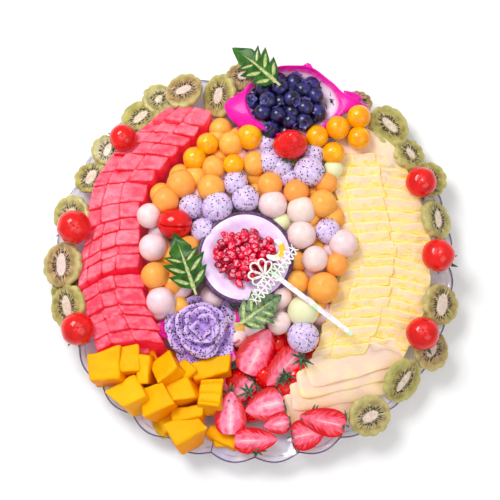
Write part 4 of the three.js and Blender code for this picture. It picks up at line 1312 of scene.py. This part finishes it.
def ball_heaps():
    draw = np.random.default_rng(83)
    kinds = {
        "cantaloupe_balls": (CANTALOUPE, melon_ball_finish("cantaloupe flesh", "fda438", "ffc05c", "ff984a"),
                             "cantaloupe", ["ball_heap_north_west", "ball_heap_north_east", "ball_heap_east"]),
        "honeydew_balls": (HONEYDEW, melon_ball_finish("honeydew flesh", "efc2cb", "f7dde6", "e6edb8"),
                           "honeydew", ["ball_heap_west"]),
        "dragon_fruit_balls": (DRAGON_BALLS,
                               dragon_flesh_finish("dragon fruit ball flesh", "cdb6e4", "ead8f6", "ffffff", 0.0),
                               "dragon_flesh", []),
    }
    batches = {name: Batch() for name in kinds}
    seeds = Batch()
    shown = [(x, y) for balls in (CANTALOUPE, HONEYDEW, DRAGON_BALLS, GOLDEN_BERRIES) for x, y, _, _ in balls]
    for name, (balls, _, _, _) in kinds.items():
        for number, (x, y, top, size) in enumerate(balls):
            at = ball_place(x, y, top, size, draw)
            tint = HONEYDEW_TINTS[number] if name == "honeydew_balls" else varied(number) * 0.7
            batches[name].add(scooped(size, number * 7 + len(name)), at, tint)
            if name == "dragon_fruit_balls":
                sow_ball(seeds, x, y, top, size, draw)
    reach = {}
    for side, fruit in ((-1, "watermelon"), (1, "pineapple")):
        inner = [FANS[name][1] for name in FANS if name.startswith(fruit)]
        reach[side] = np.array(sorted((y, x) for line in inner for x, y in line)).T
    near, far = FILLER_GAP
    hidden = [(x, y) for x in range(-112, 113, FILLER_STEP) for y in range(-66, 134, FILLER_STEP)
              if near < min(math.hypot(x - a, y - b) for a, b in shown) < far
              and math.hypot(x + 9, y) > COCONUT_CLEAR
              and np.interp(y, *reach[-1]) + 10 < x < np.interp(y, *reach[1]) - 10]
    for number, (x, y) in enumerate(hidden + EXTRA_FILLERS):
        name = "cantaloupe_balls" if (x * 7 + y * 3) % 10 < 6 else "honeydew_balls"
        batches[name].add(scooped(FILLER_BALL, number), place(x, y, 33 if y > -50 else 28), 0.0)
    for name, (_, finish, slot, nodes) in kinds.items():
        batches[name].piece(name, [finish], slot, nodes)
    return seeds


def golden_berries():
    draw = np.random.default_rng(97)
    batch = Batch()
    angle = turns(40)
    for number, (x, y, top, size) in enumerate(GOLDEN_BERRIES):
        loops, tints = [], []
        for t in np.linspace(0.06, math.pi - 0.04, 34):
            out, up = math.sin(t), -math.cos(t) * 0.97
            scar = math.exp(-((out * size / 2 - 1.3) / 0.5) ** 2) * (up > 0)
            rise = 0.012 * np.cos(6 * angle) * scar - 0.02 * math.exp(-(out * size / 2) ** 2) * (up > 0)
            loops.append(ring(angle, out, up + rise) * size / 2)
            tints.append([scar])
        way = Vector((draw.normal(0, 0.35), draw.normal(0.1, 0.35), 1))
        batch.add(skinned(loops, None, 0, tints), aimed((x, y, top - size / 2), way, number))
    batch.piece("golden_berry_fruit", [golden_finish()], "golden_berry", ["golden_berries"])


# ---- mango chunks ----
MANGO = {  # x, y, height of the middle, turn, length, width, depth, lean, its direction
    "mango_back": [
        (-143, -106, 31, 10, 31, 31, 30, 18, 120), (-124, -102, 31, 4, 25, 26, 30, 18, 100),
        (-106, -106, 33, 3, 15, 30, 26, 14, 180), (-85, -107, 34, 30, 27, 33, 28, 26, 150),
        (-68, -111, 30, 40, 20, 20, 30, 14, 130), (-119, -135, 31, 38, 30, 31, 30, 24, 140),
        (-93, -140, 32, 28, 32, 32, 30, 24, 165), (-70, -131, 33, 16, 31, 28, 30, 22, 160),
    ],
    "mango_front": [
        (-66, -170, 31, 30, 34, 28, 28, 26, 95), (-31, -174, 22, -24, 32, 18, 12, 14, 60),
        (-43, -136, 33, -4, 27, 34, 27, 22, 100), (-40, -108, 33, 14, 44, 20, 24, 16, 130),
        (-66, -152, 30, 4, 34, 16, 26, 20, 130), (-86, -158, 20, 30, 22, 22, 22, 10, 30),
    ],
}


def mango_chunk(long, wide, tall, ridged, seed, step=2.4):
    """A block cut by hand: no two of its sides are square to each other."""
    form = rounded_block((long, wide, tall), 2.8, step)
    share = form.corners / (np.array([long, wide, tall]) / 2)
    draw = np.random.default_rng(seed)
    pull = np.zeros_like(form.corners)
    for signs in np.array(np.meshgrid([-1, 1], [-1, 1], [-1, 1])).T.reshape(-1, 3):
        weight = np.prod((1 + signs * np.clip(share, -1, 1)) / 2, 1)[:, None]
        pull += weight * draw.uniform(-0.17, 0.11, 3) * [long, wide, tall] * signs
    corners = form.corners + pull
    if ridged:
        corners[:, 2] -= 1.8 * (np.abs(np.sin(share[:, 1] * math.pi * 1.5)) < 0.35) * np.clip(share[:, 2], 0, 1) ** 3
    return shaken(shaken(form._replace(corners=corners), 0.9, 14, seed), 0.16, 3, seed + 9)


def mango():
    finish = mango_finish()
    for name, chunks in MANGO.items():
        batch = Batch()
        for number, (x, y, z, turn, long, wide, tall, lean, toward) in enumerate(chunks):
            ridged = name == "mango_front" and number == 2
            form = mango_chunk(long, wide, tall, ridged, number * 13 + len(name))
            batch.add(form, place(x, y, z, turn, lean, toward), varied(number))
            batch.add(mango_chunk(24, 24, 16, False, number * 7 + 3, 6), place(x + 3, y + 5, 17, turn + 30), 0.2)
        batch.piece(name + "_chunks", [finish], "mango", [name])


# ---- fans of slices ----
def curve(points, shares):
    """Points on a smooth curve through some points, by share of its length; it runs on straight past its ends."""
    points = np.array(points, float)
    padded = np.vstack([2 * points[0] - points[1], points, 2 * points[-1] - points[-2]])
    t = np.linspace(0, 1, 30)[:, None]
    spans = []
    for a, b, c, d in zip(padded, padded[1:], padded[2:], padded[3:]):
        spans.append(b + 0.5 * t * (c - a + t * (2 * a - 5 * b + 4 * c - d + t * (3 * (b - c) + d - a))))
    path = np.vstack(spans)
    run = np.concatenate([[0], np.cumsum(np.linalg.norm(np.diff(path, axis=0), axis=1))])
    run /= run[-1]
    inner = np.stack([np.interp(shares, run, path[:, axis]) for axis in range(2)], 1)
    before, after = np.minimum(shares, 0)[:, None], np.maximum(shares - 1, 0)[:, None]
    start, end = (path[20] - path[0]) / run[20], (path[-1] - path[-21]) / (1 - run[-21])
    return inner + before * start + after * end


def quad_block(corners, high, round_off, tilt, splay):
    """A rounded block on the plate over four corners given anticlockwise: two along its first side, two back.

    Its top rises by tilt from its first side to the other, and its foot is moved by splay. local holds the distance
    from the nearest upright side and the share of the way from the back to the front.
    """
    corners = np.array(corners, float)
    long = (np.linalg.norm(corners[1] - corners[0]) + np.linalg.norm(corners[2] - corners[3])) / 2
    wide = (np.linalg.norm(corners[3] - corners[0]) + np.linalg.norm(corners[2] - corners[1])) / 2
    form = rounded_block((long, wide, high), round_off, (2.4, 2.4, 9))
    u = form.corners[:, :1] / long + 0.5
    v = form.corners[:, 1:2] / wide + 0.5
    flat = (corners[0] * (1 - u) + corners[1] * u) * (1 - v) + (corners[3] * (1 - u) + corners[2] * u) * v
    rise = form.corners[:, 2:3] / high + 0.5
    flat = flat + (1 - rise) * np.array(splay)
    foot = plate_top(flat[:, :1], flat[:, 1:])
    z = foot + (high - foot + tilt[0] * (u - 0.5) + tilt[1] * (v - 0.5)) * rise
    inside = np.minimum(np.minimum(u, 1 - u) * long, np.minimum(v, 1 - v) * wide)
    front = 1 - v if corners[3][1] > corners[0][1] else v
    return form._replace(corners=np.hstack([flat, z]), local=np.hstack([inside, front, 0 * rise]))


FANS = {  # rows, inner and outer ends of the rows, where columns part, how far a row bows north, step at its inner end
    "watermelon_upper": (8, [(-117, 44), (-106, 76), (-86, 102), (-62, 125), (-41, 152)],
                         [(-166, 32), (-164, 66), (-146, 103), (-118, 131), (-86, 157)], (0, 0.4, 0.74, 1), 2, 2.5),
    "watermelon_middle": (4, [(-115, 45), (-114, 19), (-114, -7)], [(-165, 28), (-172, 5), (-174, -27)],
                          (0, 0.37, 0.64, 0.86, 1), 6, 0),
    "watermelon_lower": (5, [(-110, -14), (-109, -39), (-102, -52), (-95, -68), (-90, -83)],
                         [(-170, -31), (-164, -57), (-154, -89)], (0, 0.47, 0.76, 1), 7, -2),
    "pineapple_upper": (9, [(88, 105), (82, 80), (83, 50), (88, 22), (95, 2)],
                        [(149, 101), (157, 79), (168, 50), (173, 24), (174, 2)], (0, 0.14, 0.56, 1), 4, 0.8),
    "pineapple_lower": (11, [(94, 6), (84, -18), (74, -48), (65, -76), (54, -104)],
                        [(170, 4), (172, -20), (167, -47), (157, -72), (142, -100)], (0, 0.2, 0.6, 1), 9, 0.8),
}


def fan(name, gap, make):
    """Lays a fan's blocks between lines that turn along it, calling make for each with its row and column."""
    rows, inner, outer, columns, bow, step = FANS[name]
    draw = np.random.default_rng(len(name) * 17)
    shares = np.linspace(0, 1, rows + 1)
    shares[1:-1] += draw.normal(0, 0.11 / rows, rows - 1)
    near, far = curve(inner, shares), curve(outer, shares)
    for row in range(rows):
        stops = np.array(columns) + np.array([0, *draw.normal(0, 0.018, len(columns) - 2), 0])
        for column, (start, stop) in enumerate(zip(stops, stops[1:])):
            corners = []
            for line, share in ((row, start), (row, stop), (row + 1, stop), (row + 1, start)):
                off = math.copysign(step, near[row][1] - near[row + 1][1]) * (1 if line > row else -1) * (1 - share)
                corners.append(between(near[line], far[line], share) + [off, 4 * bow * share * (1 - share)])
            (ax, ay), (bx, by) = corners[1] - corners[0], corners[3] - corners[0]
            if ax * by < ay * bx:
                corners = corners[::-1]
            centre = np.mean(corners, 0)
            corners = [centre + (c - centre) * (1 - gap / max(np.linalg.norm(c - centre), 1)) for c in corners]
            north = math.copysign(1, corners[3][1] - corners[0][1])
            make(corners, centre, row, column, north, draw)


WATERMELON_TOP, PINEAPPLE_TOP = 43, 39.5  # height of the highest column of blocks
WATERMELON_SHADE = {  # how much darker than it might be each fan is
    "watermelon_upper": 0.1, "watermelon_middle": 0.4, "watermelon_lower": 1.0,
}
WATERMELON_BELOW = {  # a low piece for each fan, in the gap at one of its ends
    "watermelon_middle": [(-166, -38), (-112, -24), (-112, 0), (-170, -8)],
    "watermelon_lower": [(-150, -90), (-104, -92), (-104, -70), (-156, -74)],
    "watermelon_upper": [(-164, 22), (-118, 34), (-118, 56), (-164, 44)],
}


def watermelon():
    finish = watermelon_finish()
    for name, shade in WATERMELON_SHADE.items():
        batch = Batch()

        def block(corners, centre, row, column, north, draw):
            high = WATERMELON_TOP - 1.4 * column + draw.normal(0, 1.0)
            inward = -centre / np.linalg.norm(centre) * 6
            forward = 18 if row == FANS[name][0] - 1 else 8
            tilt = (draw.normal(0, 1.4), -north * draw.uniform(2.0, 5.0))
            form = quad_block(corners, high, 2.5, tilt, inward - [0, forward])
            form = shaken(form, 0.45, 9, int(draw.integers(1e6)))
            batch.add(shaken(form, 0.12, 2.5, int(draw.integers(1e6))), None, draw.uniform() - shade)

        fan(name, -0.35, block)
        batch.add(quad_block(WATERMELON_BELOW[name], 29, 2, (0, 0), (0, 0)))
        batch.piece(name + "_blocks", [finish], "watermelon", [name])


SMOOTH_SLICES = {  # x, y, height of the middle, turn, length, width, thickness, lean, its direction
    "pineapple_upper": [(112, 107, 31, -32, 66, 50, 12, 2, 240)],
    "pineapple_lower": [(97, -100, 30.8, 15, 96, 30, 10, 4, 285), (90, -112, 27.5, 13, 98, 30, 10, 5, 285),
                        (82, -125, 24.5, 11, 98, 32, 10, 6, 284), (74, -139, 21, 9, 92, 34, 10, 8, 282)],
}


def soft_slice(long, wide, thick, square):
    """A flat slice in the XY plane with a rounded outline and soft edges; a higher power makes its corners squarer."""
    angle = turns(96)
    cosine, sine = np.cos(angle), np.sin(angle)
    reach = (np.abs(cosine) ** square + np.abs(sine) ** square) ** (-1 / square)
    profile = [(0.3, -1), (0.8, -1), (0.95, -0.85), (1, -0.35), (1, 0.3), (0.98, 0.7), (0.94, 0.93), (0.86, 1),
               (0.72, 1), (0.55, 1), (0.36, 1), (0.18, 1), (0.04, 1)]
    loops = [np.stack([share * reach * cosine * long / 2, share * reach * sine * wide / 2,
                       np.full_like(angle, level * thick / 2)], 1) for share, level in profile]
    local = [np.tile([(1 - share) * wide / 2, level / 2 + 0.5, 1], (len(angle), 1)) for share, level in profile]
    return skinned(loops, local)


def pineapple():
    finish = pineapple_finish()
    for name, slices in SMOOTH_SLICES.items():
        batch = Batch()

        def slice_block(corners, centre, row, column, north, draw):
            high = PINEAPPLE_TOP - (1.5, 0, 2.5)[column] + draw.normal(0, 0.4)
            if name == "pineapple_lower":
                high -= 0.15 * row
            tilt = (draw.normal(0, 0.6), north * draw.uniform(0.6, 2.2))
            form = quad_block(corners, high, 1.8, tilt, (0, 0))
            form = shaken(form, 0.8, 9, int(draw.integers(1e6)))
            batch.add(shaken(form, 0.18, 2.5, int(draw.integers(1e6))))

        fan(name, -1.0, slice_block)
        for number, (x, y, z, turn, long, wide, thick, lean, toward) in enumerate(slices):
            square = 3.6 if name == "pineapple_upper" else 7
            form = shaken(soft_slice(long, wide, thick, square), 0.9, 18, number)
            batch.add(form, place(x, y, z, turn, lean, toward))
            batch.add(soft_slice(long * 0.8, wide * 0.8, z - 8, square), place(x, y, z / 2, turn))
        batch.piece(name + "_slices", [finish], "pineapple", [name])


# ---- floor, light and camera ----
FLOOR_REACH = 3.0  # metres
LAMPS = [("key", (-0.55, 0.6, 1.2), 0.6, 14), ("fill", (0.8, -0.7, 1.2), 0.9, 4.5)]  # name, spot, size, watts
SKY_STRENGTH = 0.58


def studio():
    reach = FLOOR_REACH
    floor_mesh = bpy.data.meshes.new("floor")
    floor_mesh.from_pydata([(-reach, -reach, 0), (reach, -reach, 0), (reach, reach, 0), (-reach, reach, 0)], [],
                           [(0, 1, 2, 3)])
    floor_mesh.materials.append(floor_finish().material)
    floor = bpy.data.objects.new("floor", floor_mesh)
    bpy.context.scene.collection.objects.link(floor)
    for name, spot, size, power in LAMPS:
        lamp = bpy.data.lights.new(name, "AREA")
        lamp.size = size
        lamp.energy = power
        light = bpy.data.objects.new(name, lamp)
        light.location = spot
        light.rotation_mode = "QUATERNION"
        light.rotation_quaternion = Vector(spot).to_track_quat("Z", "Y")
        bpy.context.scene.collection.objects.link(light)
    world = bpy.data.worlds.new("studio")
    world.use_nodes = True
    sky = world.node_tree.nodes["Background"].inputs
    sky["Color"].default_value = (1, 1, 1, 1)
    sky["Strength"].default_value = SKY_STRENGTH
    bpy.context.scene.world = world
    bpy.context.scene.view_settings.view_transform = "Standard"


def camera():
    """Looks down at the front of the platter, ten degrees off the plumb line."""
    aim, away = Vector((-4.7, 12.7, 22)) * MM, 1.3
    elevation, field = math.radians(80), math.radians(21.8)
    lens = bpy.data.cameras.new("camera")
    lens.angle = field
    seat = bpy.data.objects.new("camera", lens)
    back = Vector((0, -math.cos(elevation), math.sin(elevation)))
    seat.location = aim + back * away
    seat.rotation_mode = "QUATERNION"
    seat.rotation_quaternion = (-back).to_track_quat("-Z", "Y")
    bpy.context.scene.collection.objects.link(seat)
    bpy.context.scene.camera = seat


plate()
coconut()
arils()
dragon_seeds = [dragon_shell(), rose(), ball_heaps()]
blueberries()
leaves()
topper()
green = Batch()
tomatoes(green)
strawberries(green)
green.piece("calyxes", [calyx_finish()], "leaf")
kiwis()
golden_berries()
mango()
watermelon()
pineapple()
black = Batch()
black.forms = [form for batch in dragon_seeds for form in batch.forms]
black.piece("dragon_fruit_seeds", [seed_finish("dragon fruit seeds", "0d0b14", "1d1826")], "dragon_flesh")
studio()
camera()
